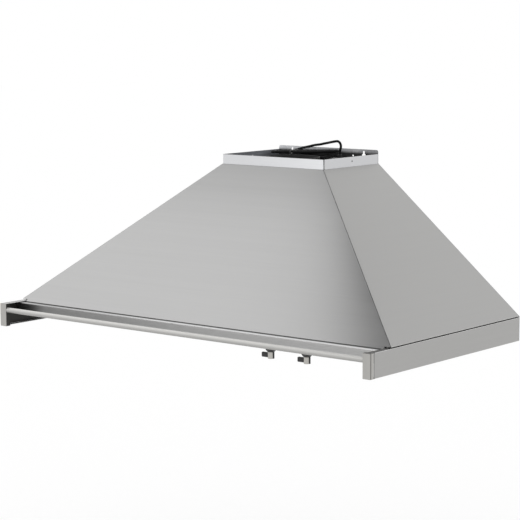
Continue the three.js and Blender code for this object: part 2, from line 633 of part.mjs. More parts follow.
// Filter cassette about x = 0: a channel frame with two rows of interlocking baffles.
function filterCassette() {
  const half = filterWidth / 2;
  const bottom = FILTER_BOTTOM;
  const top = bottom + FILTER_THICK;
  const rear = -FILTER_REAR;
  const front = -FILTER_FRONT;
  const s = FILTER_SHEET;
  const window = { x: half - FILTER_BAR, rear: rear - FILTER_BAR, front: front + FILTER_FRONT_BAR };
  let frame = solid(box([-half, half], [front, rear], [bottom, top]));
  frame = frame.subtract(solid(box([-window.x, window.x], [window.front, window.rear], [bottom - 1, top + 1])));
  frame = frame.subtract(solid(box([-half + s, half - s], [front + s, rear - s], [bottom + s, top - s])));
  const tongueSlot = box([-LATCH_WIDTH / 2 - 1, LATCH_WIDTH / 2 + 1], [front - 1, front + s + 1],
    [TONGUE_Z[0] - FIT, TONGUE_Z[1] + FIT]);
  const stemSlot = box([-5, 5], [front + 3, front + 3 + 5 + LATCH_TRAVEL + 1.4], [bottom - 1, bottom + s + 1]);
  const drains = [-1, 1].map((side) =>
    box([side * window.x - 5, side * window.x + 5], [rear - 6, rear - 3], [bottom - 1, bottom + s + 1]));
  for (const slot of [tongueSlot, stemSlot, ...drains]) frame = frame.subtract(solid(slot));
  const pitch = (2 * window.x) / BAFFLE_COUNT;
  const rows = { low: [bottom + 0.4, 1], high: [top - 0.4, -1] };
  const ends = [window.front - 6, window.rear + 6];
  const channel = (x, [edge, way]) => {
    const w = BAFFLE_WIDTH / 2;
    const leg = edge + way * 9;
    const points = [
      [x - w, edge], [x + w, edge], [x + w, leg], [x + w - s, leg],
      [x + w - s, edge + way * s], [x - w + s, edge + way * s], [x - w + s, leg], [x - w, leg],
    ];
    return prismY(way > 0 ? points : points.reverse(), ends[0], ends[1]);
  };
  for (let i = 0; i < BAFFLE_COUNT; i += 1) {
    const x = (i - (BAFFLE_COUNT - 1) / 2) * pitch;
    frame = frame.add(solid(channel(x, [rows.low[0], rows.low[1]])));
    if (i > 0) frame = frame.add(solid(channel(x - pitch / 2, [rows.high[0], rows.high[1]])));
  }
  // cross bars inside the frame, on which the baffles are welded
  for (const y of ends) {
    frame = frame.add(solid(box([-half + s / 2, half - s / 2], [y - 0.6, y + 0.6], [bottom + s / 2, top - s / 2])));
  }
  return surface(frame);
}

// Sliding latch in the frame's front channel: block, tongue and the pull under the filter.
function filterLatch() {
  const front = -FILTER_FRONT;
  const s = FILTER_SHEET;
  const half = LATCH_WIDTH / 2;
  const bottom = FILTER_BOTTOM + s + FIT;
  const top = FILTER_BOTTOM + FILTER_THICK - s - FIT;
  const block = box([-half, half], [front + s + FIT, front + s + 9], [bottom, top]);
  const tongue = box([-half, half], [-SHELF_REAR - SHEET - LATCH_REACH, front + s + 2], TONGUE_Z);
  const pullTop = FILTER_BOTTOM - LATCH_STEM;
  const stem = box([-4, 4], [front + 4, front + 8.4], [pullTop - 1, bottom + 1]);
  const pull = box([-10, 10], [front + 2.6, front + 9.8], [pullTop - LATCH_PULL, pullTop]);
  return join(block, tongue, stem, pull);
}

// ---------------------------------------------------------------- lamps

function lampHousing() {
  const under = SHELF_HEIGHT - FIT;
  const r = LAMP_RADIUS;
  return turnedZ([
    [r - 1.5, under - 1.6], [r + LAMP_RIM, under - 1.6], [r + LAMP_RIM, under], [r, under],
    [r, under + LAMP_HEIGHT], [0, under + LAMP_HEIGHT], [0, under + LAMP_HEIGHT - 1.5],
    [r - 1.5, under + LAMP_HEIGHT - 1.5], [r - 1.5, under + LENS_THICK + 0.6],
    [r - 3, under + LENS_THICK + 0.6], [r - 3, under + LENS_THICK], [r - 1.5, under + LENS_THICK],
    [r - 1.5, under - 1.6],
  ], 32);
}

function lampLens() {
  const under = SHELF_HEIGHT - FIT;
  const edge = LAMP_RADIUS - 1.5 - FIT;
  const top = under + LENS_THICK - FIT;
  return turnedZ([
    [0, under - 1.4], [edge * 0.6, under - 1.1], [edge, under - 0.4], [edge, top], [0, top],
  ], 32);
}

// ---------------------------------------------------------------- controls

const KNOB_TOP = SHELF_HEIGHT - KNOB_CLEARANCE;
const SLEEVE_TOP = KNOB_TOP - KNOB_SKIRT_HEIGHT;
const BORE = SPINDLE_RADIUS + FIT;

// Black body: flared skirt, core, lever to the left and the short tail to the right.
function knobBody() {
  const turned = turnedZ([
    [0, KNOB_BOTTOM], [KNOB_CORE_RADIUS, KNOB_BOTTOM], [KNOB_CORE_RADIUS, SLEEVE_TOP - 0.01],
    [KNOB_SLEEVE_RADIUS + 0.6, SLEEVE_TOP], [KNOB_SKIRT_RADIUS, KNOB_TOP - KNOB_RIM],
    [KNOB_SKIRT_RADIUS, KNOB_TOP], [0, KNOB_TOP],
  ], 24);
  const w = KNOB_LEVER_WIDTH / 2;
  const end = -KNOB_LEVER + w;
  const round = Array.from({ length: 7 }, (_, i) => {
    const turn = rad(90 + i * 30);
    return [end + w * Math.cos(turn), w * Math.sin(turn)];
  });
  const lever = prismZ([[0, -w], [0, w], ...round], KNOB_LEVER_BOTTOM, KNOB_LEVER_TOP);
  const tail = box([0, KNOB_TAIL], [-KNOB_TAIL_WIDTH / 2, KNOB_TAIL_WIDTH / 2], [KNOB_BOTTOM, SLEEVE_TOP - FIT]);
  return cut(join(turned, lever, tail), rod(BORE, KNOB_BOTTOM + 5, KNOB_TOP + 2, 16));
}

// Satin sleeve round the core, open for the lever and the tail.
function knobSleeve() {
  const inner = KNOB_CORE_RADIUS + FIT;
  const ring = turnedZ([
    [inner, KNOB_BOTTOM], [KNOB_SLEEVE_RADIUS, KNOB_BOTTOM], [KNOB_SLEEVE_RADIUS, SLEEVE_TOP - FIT],
    [inner, SLEEVE_TOP - FIT], [inner, KNOB_BOTTOM],
  ], 24);
  const leverRoom = KNOB_LEVER_WIDTH / 2 + FIT;
  const tailRoom = KNOB_TAIL_WIDTH / 2 + FIT;
  return cut(ring,
    box([-KNOB_LEVER, 0], [-leverRoom, leverRoom], [KNOB_BOTTOM - 1, KNOB_LEVER_TOP + FIT]),
    box([0, KNOB_TAIL + 1], [-tailRoom, tailRoom], [KNOB_BOTTOM - 1, SLEEVE_TOP + 1]));
}

function spindle() {
  return rod(SPINDLE_RADIUS, KNOB_BOTTOM + 5 + FIT, SHELF_TOP + FIT + 10, 16);
}

// Rotary switch on the shelf: a case with the spindle's bore below and its terminals above.
function rotarySwitch() {
  const half = SWITCH_SIZE / 2;
  const bottom = SHELF_TOP + FIT;
  const top = bottom + SWITCH_HEIGHT;
  const tabs = [-8, 0, 8].map((x) => box([x - 2.4, x + 2.4], [-9, -8.2], [top - 1, top + 7]));
  const front = -(KNOB_SETBACK - SHEET - 2 * FIT);
  const body = join(box([-half, half], [front, half], [bottom, top]), ...tabs);
  return cut(body, rod(SPINDLE_RADIUS + 0.15, bottom - 1, bottom + 10 + FIT, 16));
}

// ---------------------------------------------------------------- blower

// The scroll's outline in [y, z], `grow` outside the wrap's inner face.
function scrollLine(grow) {
  const points = [];
  const span = TONGUE_ANGLE + 180;
  const steps = 30;
  for (let i = 0; i <= steps; i += 1) {
    const part = i / steps;
    const turn = rad(TONGUE_ANGLE - span * part);
    const r = SCROLL_INNER + (SCROLL_OUTER - SCROLL_INNER) * part + grow;
    points.push([-SCROLL_CENTRE + r * Math.cos(turn), SCROLL_HEIGHT + r * Math.sin(turn)]);
  }
  return points;
}

function scrollWrap() {
  const inside = scrollLine(0);
  const outside = scrollLine(SCROLL_SHEET);
  const front = [-SCROLL_CENTRE - SCROLL_OUTER, UNDER_PLATE];
  const fold = rad(TONGUE_ANGLE + 3);
  const nose = [
    -SCROLL_CENTRE + (SCROLL_INNER + 0.5) * Math.cos(fold),
    SCROLL_HEIGHT + (SCROLL_INNER + 0.5) * Math.sin(fold),
  ];
  const points = [
    [OUTLET_REAR, UNDER_PLATE], ...outside, [front[0] - SCROLL_SHEET, front[1]],
    front, ...inside.reverse(), nose, [OUTLET_REAR - 1.5, UNDER_PLATE],
  ];
  return prismX(points, -SCROLL_HALF, SCROLL_HALF);
}

function scrollSide(side) {
  const rim = scrollLine(SCROLL_LIP);
  const front = -SCROLL_CENTRE - SCROLL_OUTER - SCROLL_LIP;
  const hole = circle(INLET_RADIUS + 2, -SCROLL_CENTRE, SCROLL_HEIGHT, 40);
  const from = SCROLL_HALF + FIT;
  const x = side > 0 ? [from, from + SCROLL_SHEET] : [-from - SCROLL_SHEET, -from];
  const sheet = prismX([[OUTLET_REAR + SCROLL_LIP, UNDER_PLATE], ...rim, [front, UNDER_PLATE]], ...x, [hole]);
  const reach = side > 0 ? [x[0], x[1] + BLOWER_FLANGE] : [x[0] - BLOWER_FLANGE, x[1]];
  const flange = box(reach, [front, OUTLET_REAR + SCROLL_LIP], [UNDER_PLATE - SCROLL_SHEET, UNDER_PLATE]);
  return join(sheet, flange);
}

// Bell mouth round an inlet, drawn about x = 0 with its mouth outwards.
function inletRing() {
  const r = INLET_RADIUS;
  const t = INLET_SHEET;
  return turnedX([
    [r, -INLET_DEPTH], [r + 0.9 * t, -INLET_DEPTH], [r + 1.6 * t, -2 * t], [r + 1.6 * t, FIT],
    [r + INLET_RIM, FIT], [r + INLET_RIM, FIT + t], [r + 4 * t, FIT + 1.8 * t],
    [r + 1.2 * t, FIT + 0.8 * t], [r, -2 * t], [r, -INLET_DEPTH],
  ], 40);
}

function impeller() {
  const r = WHEEL_RADIUS;
  const inner = r - BLADE_DEPTH;
  const disc = turnedX([[0, -1], [r - 1, -1], [r - 1, 1], [0, 1]], 48);
  const hub = turnedX([[0, -9], [12, -9], [12, 12], [0, 12]], 24);
  const ring = turnedX([[inner, -1], [r, -1], [r, 1], [inner, 1], [inner, -1]], 48);
  let wheel = solid(disc).add(solid(hub));
  for (const x of [-WHEEL_HALF, WHEEL_HALF]) wheel = wheel.add(solid(ring.clone().translate(x, 0, 0)));
  const blade = box([-WHEEL_HALF, WHEEL_HALF], [-BLADE_THICK / 2, BLADE_THICK / 2], [inner + 0.8, r - 0.6])
    .translate(0, 0, -(inner + r) / 2).rotateX(rad(32)).translate(0, 0, (inner + r) / 2);
  for (let i = 0; i < BLADE_COUNT; i += 1) {
    wheel = wheel.add(solid(blade.clone().rotateX((2 * Math.PI * i) / BLADE_COUNT)));
  }
  const bore = turnedX([[0, -20], [SHAFT_RADIUS + FIT, -20], [SHAFT_RADIUS + FIT, 20], [0, 20]], 16);
  return surface(wheel.subtract(solid(bore)));
}

const MOTOR_X = [-112, -16];
const SHAFT_X = [-44, 16];

function motor() {
  const r = MOTOR_RADIUS;
  const [left, right] = MOTOR_X;
  const bore = SHAFT_RADIUS + 0.1;
  return turnedX([
    [0, left], [r - 10, left], [r, left + 6], [r, right - 8], [r - 8, right - 3], [12, right - 3],
    [12, right], [bore, right], [bore, SHAFT_X[0] - FIT], [0, SHAFT_X[0] - FIT],
  ], 32);
}

function motorShaft() {
  const [left, right] = SHAFT_X;
  return turnedX([[0, left], [SHAFT_RADIUS, left], [SHAFT_RADIUS, right], [0, right]], 16);
}

// Three-armed holder: a ring round the motor and feet on the scroll's left side.
function motorBracket() {
  const outside = -(SCROLL_HALF + FIT + SCROLL_SHEET);
  const plate = [outside - 5.4, outside - 3];
  const inner = MOTOR_RADIUS + FIT;
  let bracket = solid(turnedX([
    [inner, plate[0]], [inner + 7, plate[0]], [inner + 7, plate[1]], [inner, plate[1]], [inner, plate[0]],
  ], 32));
  for (const turn of [90, 210, 330]) {
    const arm = box(plate, [-7, 7], [inner + 1, SCROLL_INNER - 3]);
    const foot = box([plate[0], outside - FIT], [-7, 7], [SCROLL_INNER - 9, SCROLL_INNER - 3]);
    for (const piece of [arm, foot]) bracket = bracket.add(solid(piece.rotateX(rad(turn))));
  }
  return surface(bracket);
}

function capacitor() {
  const r = CAPACITOR_RADIUS;
  const from = SCROLL_HALF + 2 * FIT + SCROLL_SHEET;
  const to = from + CAPACITOR_LENGTH;
  return turnedX([
    [0, from], [r - 1, from], [r, from + 1], [r, to - 2], [r - 2, to], [4, to], [4, to + 5], [0, to + 5],
  ], 24);
}

// ---------------------------------------------------------------- wiring box and cable

function junctionBox() {
  const [x0, x1] = BOX_X;
  const [y0, y1] = BOX_Y;
  const low = UNDER_PLATE - BOX_DEPTH;
  const outer = box(BOX_X, BOX_Y, [low, UNDER_PLATE]);
  const inner = box([x0 + BOX_SHEET, x1 - BOX_SHEET], [y0 + BOX_SHEET, y1 - BOX_SHEET],
    [low - 1, UNDER_PLATE - BOX_SHEET]);
  const cordHole = rod(GLAND.tip + 1.6, UNDER_PLATE - 4, UNDER_PLATE + 2, 16).translate(GLAND.x, GLAND.y, 0);
  return cut(outer, inner, cordHole);
}

function junctionCover() {
  const [x0, x1] = BOX_X;
  const [y0, y1] = BOX_Y;
  const low = UNDER_PLATE - BOX_DEPTH - FIT;
  return join(
    box([x0 - 2, x1 + 2], BOX_Y, [low - BOX_SHEET, low]),
    box([x0 - 2, x0 - 2 + BOX_SHEET], [y0, y1], [low - BOX_SHEET / 2, low + 8]),
    box([x1 + 2 - BOX_SHEET, x1 + 2], [y0, y1], [low - BOX_SHEET / 2, low + 8]));
}

// Round tube along points, with a section of `sides` and one step for each `step` millimetres.
function cordAlong(points, diameter, steps, sides) {
  const path = new THREE.CatmullRomCurve3(points, false, 'centripetal');
  const section = outline(circle(diameter / 2, 0, 0, sides));
  return new THREE.ExtrudeGeometry(section, { steps, extrudePath: path, bevelEnabled: false });
}

// The control cable runs up behind the canopy's front sheet, from the fan switch to the
// wiring box.
function controlCable() {
  const lift = SKIN + CABLE_CLEARANCE + CONTROL_CABLE_DIAMETER / 2;
  const start = new THREE.Vector3(KNOB_X.fan, -KNOB_DEPTH + SWITCH_SIZE / 2 + FIT, SHELF_TOP + 12);
  const end = new THREE.Vector3(BOX_X[1] - CABLE_ENTRY.side, BOX_Y[0] - FIT, UNDER_PLATE - CABLE_ENTRY.height);
  const onFront = (x, z) => new THREE.Vector3(x, frontY(z, lift), z);
  const foot = onFront(start.x - CABLE_FOOT.side, SHELF_TOP + CABLE_FOOT.height);
  const head = onFront(end.x + CABLE_HEAD.side, end.z - CABLE_HEAD.height);
  const bend = new THREE.Vector3(
    end.x + CABLE_BEND.side, -CANOPY_TOP_DEPTH + CABLE_BEND.back, end.z - CABLE_BEND.height);
  const behind = (point, x, y, z) => point.clone().add(new THREE.Vector3(x, y, z));
  return cordAlong([
    start, behind(start, 0, 9, 0), behind(start, -1, 18, 8),
    ...[0, 0.2, 0.4, 0.6, 0.8, 1].map((part) => foot.clone().lerp(head, part)),
    bend, ...[0.3, 0.6].map((part) => bend.clone().lerp(end, part).setZ(end.z)),
    behind(end, 0, -CABLE_ENTRY.run, 0), end,
  ], CONTROL_CABLE_DIAMETER, 44, 8);
}

// ---------------------------------------------------------------- supply cord

const PLATE_REST = PLATE_TOP + FIT;
const LAYER_LOW = PLATE_REST + FIT + CORD_RADIUS + HANK_TILT * (HANK_HALF_RUN + HANK_REACH);
const LAYER_HIGH = LAYER_LOW + HANK_LAYER_RISE;
const GLAND_TOP = PLATE_REST + GLAND.height;

function cordGland() {
  const { base, tip, height } = GLAND;
  const z = PLATE_REST;
  return turnedZ([
    [0, z - 8], [tip + 1, z - 8], [tip + 1, z], [base, z], [base, z + 5], [base - 2, z + 6.5],
    [tip + 1, z + 12], [tip, z + height], [0, z + height],
  ], 16).translate(GLAND.x, GLAND.y, 0);
}

// How much of the tie's squeeze is left at x along the hank.
const TIE_X = TIE_SHARE * HANK_HALF_RUN;
function waist(x) {
  const away = Math.min(Math.abs(x - TIE_X), HANK_HALF_RUN);
  return 0.5 + 0.5 * Math.cos((Math.PI * away) / HANK_HALF_RUN);
}
const TIE_WAIST = waist(TIE_X + HANK_HALF_RUN / 5);     // at the points next to the tie

// The hank's line: it comes in on the upper layer at the left, winds inwards, climbs down
// along the rear run and winds outwards on the lower layer, to leave it at the right.
function hankPoint(turns) {
  const part = turns % 1;
  const spread = turns < CLIMB[0] ? CLIMB[0] - turns : Math.max(0, turns - CLIMB[1]);
  const r = HANK_INNER + HANK_PITCH * spread;
  const fall = THREE.MathUtils.smoothstep(turns, CLIMB[0], CLIMB[1]);
  const half = HANK_HALF_RUN;
  let x;
  let y;
  if (part < FOLD) {
    const turn = Math.PI / 2 + (Math.PI * part) / FOLD;
    [x, y] = [-half + r * Math.cos(turn), r * Math.sin(turn)];
  } else if (part < 0.5) {
    [x, y] = [-half + (2 * half * (part - FOLD)) / (0.5 - FOLD), -r];
  } else if (part < 0.5 + FOLD) {
    const turn = -Math.PI / 2 + (Math.PI * (part - 0.5)) / FOLD;
    [x, y] = [half + r * Math.cos(turn), r * Math.sin(turn)];
  } else {
    [x, y] = [half - (2 * half * (part - 0.5 - FOLD)) / (0.5 - FOLD), r];
  }
  y -= Math.sign(y) * HANK_WAIST * waist(x);
  const z = THREE.MathUtils.lerp(LAYER_HIGH, LAYER_LOW + HANK_PINCH * waist(x), fall) + HANK_TILT * x;
  return new THREE.Vector3(HANK_X + x, HANK_Y + y, z);
}

// One unbroken tube of `sides` round the points, with flat ends.
function windingTube(points, radius, sides) {
  const corners = [];
  const faces = [];
  const up = new THREE.Vector3(0, 0, 1);
  points.forEach((point, i) => {
    const before = points[Math.max(i - 1, 0)];
    const after = points[Math.min(i + 1, points.length - 1)];
    const along = after.clone().sub(before).normalize();
    const across = up.clone().cross(along).normalize();
    const raised = along.clone().cross(across);
    for (let k = 0; k < sides; k += 1) {
      const turn = (2 * Math.PI * (k + 0.5)) / sides;
      corners.push(point.clone().addScaledVector(across, radius * Math.cos(turn))
        .addScaledVector(raised, radius * Math.sin(turn)));
    }
  });
  for (let i = 0; i + 1 < points.length; i += 1) {
    for (let k = 0; k < sides; k += 1) {
      const [a, b] = [i * sides + k, i * sides + ((k + 1) % sides)];
      faces.push(a, a + sides, b, b, a + sides, b + sides);
    }
  }
  const last = (points.length - 1) * sides;
  for (let k = 1; k + 1 < sides; k += 1) {
    faces.push(0, k, k + 1);
    faces.push(last, last + k + 1, last + k);
  }
  const geometry = new THREE.BufferGeometry().setFromPoints(corners);
  geometry.setIndex(faces);
  return geometry;
}

const hankLoops = Array.from({ length: HANK_TURNS * 24 + 1 }, (_, i) => hankPoint(i / 24));
const straight = new THREE.Vector3(CORD_DIAMETER, 0, 0);
const hankLine = [
  hankLoops[0].clone().add(straight), ...hankLoops, hankLoops.at(-1).clone().add(straight),
];

// Least gap between one stretch of the winding and the next, measured on points.
function leastGap(points, diameter, apart) {
  let least = Infinity;
  for (let i = 0; i + 1 < points.length; i += 1) {
    for (let j = i + apart; j + 1 < points.length; j += 1) {
      for (let k = 0; k < 5; k += 1) {
        const here = points[i].clone().lerp(points[i + 1], k / 5);
        const line = new THREE.Line3(points[j], points[j + 1]);
        const near = line.closestPointToPoint(here, true, new THREE.Vector3());
        least = Math.min(least, near.distanceTo(here) - diameter);
      }
    }
  }
  return least;
}

const lineLength = (points) => points.slice(1).reduce((sum, p, i) => sum + p.distanceTo(points[i]), 0);

// Points chosen by hand, each by how far it lies from a fixed end of the cord.
const from = (end, offsets) => offsets.map(([x, y, z]) => end.clone().add(new THREE.Vector3(x, y, z)));

// Up out of the gland, over in an arch, and in a long slope down onto the hank.
const glandEnd = new THREE.Vector3(GLAND.x, GLAND.y, GLAND_TOP + FIT);
const landing = hankLine[0].clone().add(new THREE.Vector3(FIT, 0, 0));
const freeStretch = [
  ...from(glandEnd, [
    [0, 0, 0], [0, 0, 3.4], [0.1, 0, 6.8], [1.8, 0, 12.2], [3.3, 0.1, 17.4], [3.5, 0.2, 22.6], [1.6, 0.4, 27.8],
    [-2.2, 0.8, 31.6], [-7.4, 1.3, 33.7], [-13.6, 2, 33.5], [-27.4, 4.2, 31.2], [-42.4, 8, 28.4],
    [-62.4, 13, 24.8], [-80.4, 17.6, 21.5],
  ]),
  ...from(landing, [
    [97, -22, 21], [67, -13.4, 15.2], [46, -5.6, 11.4], [33, -1.8, 8.5], [20, 0, 4.9], [7, 0, 0.7], [0, 0, 0],
  ]),
];

// Off the hank's lower layer and round to the plug.
const hankEnd = hankLine.at(-1).clone().add(new THREE.Vector3(FIT, 0, 0));
const plugAxis = PLATE_REST + PLUG.height / 2;
const plugMouth = new THREE.Vector3(PLUG.x, PLUG.y + FIT, plugAxis);
const tailStretch = [
  ...from(hankEnd, [[0, 0, 0], [8, 0, 0]]),
  ...from(plugMouth, [
    [-62, 33.8, -0.9], [-42, 34, -3.4], [-27, 33, -4.2], [-15, 28.5, -2.9], [-6, 20.5, -1.4], [-1, 11, -0.3],
    [0, 6.7, 0], [0, 0, 0],
  ]),
];

function cordTie() {
  const reach = HANK_INNER + 1.6 * HANK_PITCH - HANK_WAIST + CORD_RADIUS + FIT;
  const room = CORD_RADIUS + FIT + TIE_THICK;
  const low = LAYER_LOW + HANK_PINCH * TIE_WAIST + HANK_TILT * TIE_X - room;
  const high = LAYER_HIGH + HANK_TILT * TIE_X + room;
  const middle = HANK_X + TIE_X;
  const ring = (grow, r) => {
    const points = [];
    const x = reach + grow - r;
    const z = (high - low) / 2 - TIE_THICK + grow - r;
    for (const [sx, sz, from] of [[1, 1, 0], [-1, 1, 90], [-1, -1, 180], [1, -1, 270]]) {
      for (let i = 0; i <= 3; i += 1) {
        const turn = rad(from + i * 30);
        points.push([
          HANK_Y + sx * x + r * Math.cos(turn),
          (low + high) / 2 + sz * z + r * Math.sin(turn),
        ]);
      }
    }
    return points;
  };
  return prismX(ring(TIE_THICK, 3), middle - TIE_WIDTH / 2, middle + TIE_WIDTH / 2, [ring(0, 2.2)]);
}

// Moulded plug lying on the top plate: a boot for the cord, a body with a finger step, pins.
function plug() {
  const { width, height, length } = PLUG;
  const w = width / 2;
  const plan = [
    [-4.6, 0], [-5.4, -9], [-w + 3, -14], [-w, -18], [-w, -length], [w, -length], [w, -18], [w - 3, -14],
    [5.4, -9], [4.6, 0],
  ];
  const body = prismZ(plan.reverse(), -height / 2, height / 2);
  const blades = [-6.3, 6.3].map((x) => box([x - 0.8, x + 0.8], [-length - 16, -length + 1], [-1, 5.3]));
  const earth = rod(2.4, -1, 18, 12).rotateX(Math.PI / 2).translate(0, -length, -5.6);
  return join(body, ...blades, earth);
}

// ---------------------------------------------------------------- assembly

add('back_panel', backPanel(), GALVANISED);
add('canopy_front_panel', canopyFront(), STEEL);
add('canopy_right_panel', canopySide(), STEEL);
add('collar_front', collarFront(), STEEL_BRIGHT);
add('collar_right', collarSide(), STEEL_BRIGHT);
add('side_panel_right', sidePanel(), STEEL);
add('end_block_right', endBlock(), STEEL_WARM);

// The left-hand pieces are the right-hand ones mirrored.
const mirrored = (geometry) => geometry.clone().scale(-1, 1, 1);
add('canopy_left_panel', mirrored(canopySide()), STEEL);
add('collar_left', mirrored(collarSide()), STEEL_BRIGHT);
add('side_panel_left', mirrored(sidePanel()), STEEL);
add('end_block_left', mirrored(endBlock()), STEEL_WARM);

add('front_rail', frontRail(), STEEL_WARM);
add('front_fascia', frontFascia(), STEEL);
add('rear_base_rail', rearBaseRail(), STEEL);
add('top_plate', topPlate(), GALVANISED);

add('duct_ring', ductRing(), BLACK_PLASTIC);
add('damper_pin', pinShape(0), GALVANISED);
const knuckleEnd = DUCT_INSIDE - 8;
const rearKnuckle = [[-KNUCKLE_HALF, KNUCKLE_HALF]];
const frontKnuckles = [[-knuckleEnd, -KNUCKLE_HALF - 1], [KNUCKLE_HALF + 1, knuckleEnd]];
add('damper_flap_front', damperFlap(-1, frontKnuckles, rearKnuckle), BLACK_PLASTIC);
add('damper_flap_rear', damperFlap(1, rearKnuckle, frontKnuckles), BLACK_PLASTIC);

const filterNames = ['left', 'centre', 'right'];
filterX.forEach((x, i) => {
  add(`baffle_filter_${filterNames[i]}`, filterCassette(), STEEL).position.x = x;
  add(`filter_latch_${filterNames[i]}`, filterLatch(), STEEL_WARM).position.x = x;
});

for (const [name, side] of [['left', -1], ['right', 1]]) {
  const lamp = new THREE.Group();
  lamp.position.set((side * LAMP_SPACING) / 2, -LAMP_DEPTH, 0);
  add(`lamp_housing_${name}`, lampHousing(), GALVANISED, lamp);
  add(`lamp_lens_${name}`, lampLens(), LENS_GLASS, lamp);
  hood.add(lamp);
}

for (const [name, x] of Object.entries(KNOB_X)) {
  const control = new THREE.Group();
  control.position.set(x, -KNOB_DEPTH, 0);
  add(`${name}_knob`, knobBody(), BLACK_PLASTIC, control);
  add(`${name}_knob_sleeve`, knobSleeve(), STEEL_WARM, control);
  add(`${name}_spindle`, spindle(), GALVANISED, control);
  add(`${name}_switch`, rotarySwitch(), GREY_PLASTIC, control);
  hood.add(control);
}

add('scroll_wrap', scrollWrap(), GALVANISED);
add('scroll_side_left', scrollSide(-1), GALVANISED);
add('scroll_side_right', scrollSide(1), GALVANISED);
const blower = new THREE.Group();
blower.position.set(0, -SCROLL_CENTRE, SCROLL_HEIGHT);
const inletX = SCROLL_HALF + FIT + SCROLL_SHEET;
add('inlet_ring_right', inletRing(), GALVANISED, blower).position.x = inletX;
const leftInlet = add('inlet_ring_left', inletRing(), GALVANISED, blower);
leftInlet.position.x = -inletX;
leftInlet.rotation.z = Math.PI;
add('impeller', impeller(), GALVANISED, blower);
add('motor', motor(), GREY_PLASTIC, blower);
add('motor_shaft', motorShaft(), STEEL, blower);
add('motor_bracket', motorBracket(), GALVANISED, blower);
add('capacitor', capacitor(), GREY_PLASTIC, blower).position
  .set(0, -CAPACITOR_PLACE.forward, -CAPACITOR_PLACE.down);
hood.add(blower);

add('junction_box', junctionBox(), GALVANISED);
add('junction_box_cover', junctionCover(), GALVANISED);
add('control_cable', controlCable(), BLACK_CORD);

add('cord_gland', cordGland(), BLACK_PLASTIC);
add('cord_stretch', cordAlong(freeStretch, CORD_DIAMETER, 40, 8), BLACK_CORD);
add('cord_hank', windingTube(hankLine, CORD_RADIUS, 6), BLACK_CORD);
add('cord_tail', cordAlong(tailStretch, CORD_DIAMETER, 14, 8), BLACK_CORD);
add('cord_tie', cordTie(), BLACK_PLASTIC);
add('plug', plug(), BLACK_PLASTIC).position.set(PLUG.x, PLUG.y, plugAxis);

console.log('hank: least gap', leastGap(hankLine, CORD_DIAMETER, 8).toFixed(2), 'mm, length',
  lineLength(hankLine).toFixed(0), 'mm');

const group = new THREE.Group();
group.add(hood);
hood.position.z = -HANG_Z;

export default group;
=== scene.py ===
# %% [markdown]
# # A wall canopy range hood
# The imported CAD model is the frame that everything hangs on. Its pieces are already in place,
# so this lesson gives them their finishes, models the pieces that need more detail than a
# faceted solid has, and lights the hood as in a studio photograph.

# %% Load the frame
import json
import math

import bpy
from mathutils import Matrix, Vector

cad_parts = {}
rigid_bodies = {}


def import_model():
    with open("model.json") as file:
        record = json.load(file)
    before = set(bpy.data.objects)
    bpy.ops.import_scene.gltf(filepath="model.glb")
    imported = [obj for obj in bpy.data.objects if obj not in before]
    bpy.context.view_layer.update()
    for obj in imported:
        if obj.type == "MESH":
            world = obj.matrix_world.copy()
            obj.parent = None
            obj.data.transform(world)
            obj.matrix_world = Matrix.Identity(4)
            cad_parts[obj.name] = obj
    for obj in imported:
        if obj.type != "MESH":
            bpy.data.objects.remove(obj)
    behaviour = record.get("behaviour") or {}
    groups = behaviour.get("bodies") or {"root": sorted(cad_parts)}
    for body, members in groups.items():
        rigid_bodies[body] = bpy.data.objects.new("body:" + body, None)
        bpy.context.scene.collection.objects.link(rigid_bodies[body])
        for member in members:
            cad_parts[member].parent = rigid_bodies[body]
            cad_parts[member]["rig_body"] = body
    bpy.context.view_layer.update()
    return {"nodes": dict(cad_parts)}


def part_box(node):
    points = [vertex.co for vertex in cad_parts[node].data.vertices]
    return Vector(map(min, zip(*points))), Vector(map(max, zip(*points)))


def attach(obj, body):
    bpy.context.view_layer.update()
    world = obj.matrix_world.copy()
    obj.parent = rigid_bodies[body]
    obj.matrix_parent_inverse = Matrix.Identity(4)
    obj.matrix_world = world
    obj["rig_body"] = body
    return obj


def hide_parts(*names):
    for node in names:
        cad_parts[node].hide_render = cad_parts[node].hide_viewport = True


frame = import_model()
NODES = frame["nodes"]
MM = 0.001

# %% [markdown]
# The frame's origin is on the back, at the height of the screws on which the hood hangs. Most
# sizes of a hood are read from the lower edge of its base, so one number turns a height above
# that edge into a height here.

# %% Heights
HANG = 457.5


def up(height):
    """A height in millimetres above the base's lower edge, as metres in the frame."""
    return (height - HANG) * MM


print("the base's lower edge lies at", round(up(0), 4), "m")

# %% [markdown]
# The camera stands to the right of the hood and a little above it. Its place, its turn and its
# lens come from fitting the hood's straight edges to the photograph. The picture is square, so
# the lens follows from the focal length in pixels and a 36 mm sensor.

# %% Camera
CAMERA_AT = Vector((2997.56 * MM, -3982.78 * MM, up(816.76)))
YAW, PITCH, ROLL = math.radians(39.086), math.radians(7.532), math.radians(-0.215)
FOCAL_PIXELS, PICTURE_PIXELS, SENSOR = 1844.07, 520, 36.0

look = Vector((-math.sin(YAW) * math.cos(PITCH), math.cos(YAW) * math.cos(PITCH), -math.sin(PITCH)))
level = Vector((math.cos(YAW), math.sin(YAW), 0))
right = level * math.cos(ROLL) + level.cross(look) * math.sin(ROLL)
camera = bpy.data.objects.new("camera", bpy.data.cameras.new("camera"))
camera.matrix_world = Matrix.Translation(CAMERA_AT) @ Matrix(
    (right, right.cross(look), -look)).transposed().to_4x4()
camera.data.sensor_width = SENSOR
camera.data.lens = SENSOR * FOCAL_PIXELS / PICTURE_PIXELS
camera.data.clip_end = 100
bpy.context.scene.collection.objects.link(camera)
bpy.context.scene.camera = camera
print("lens", round(camera.data.lens, 2), "mm")

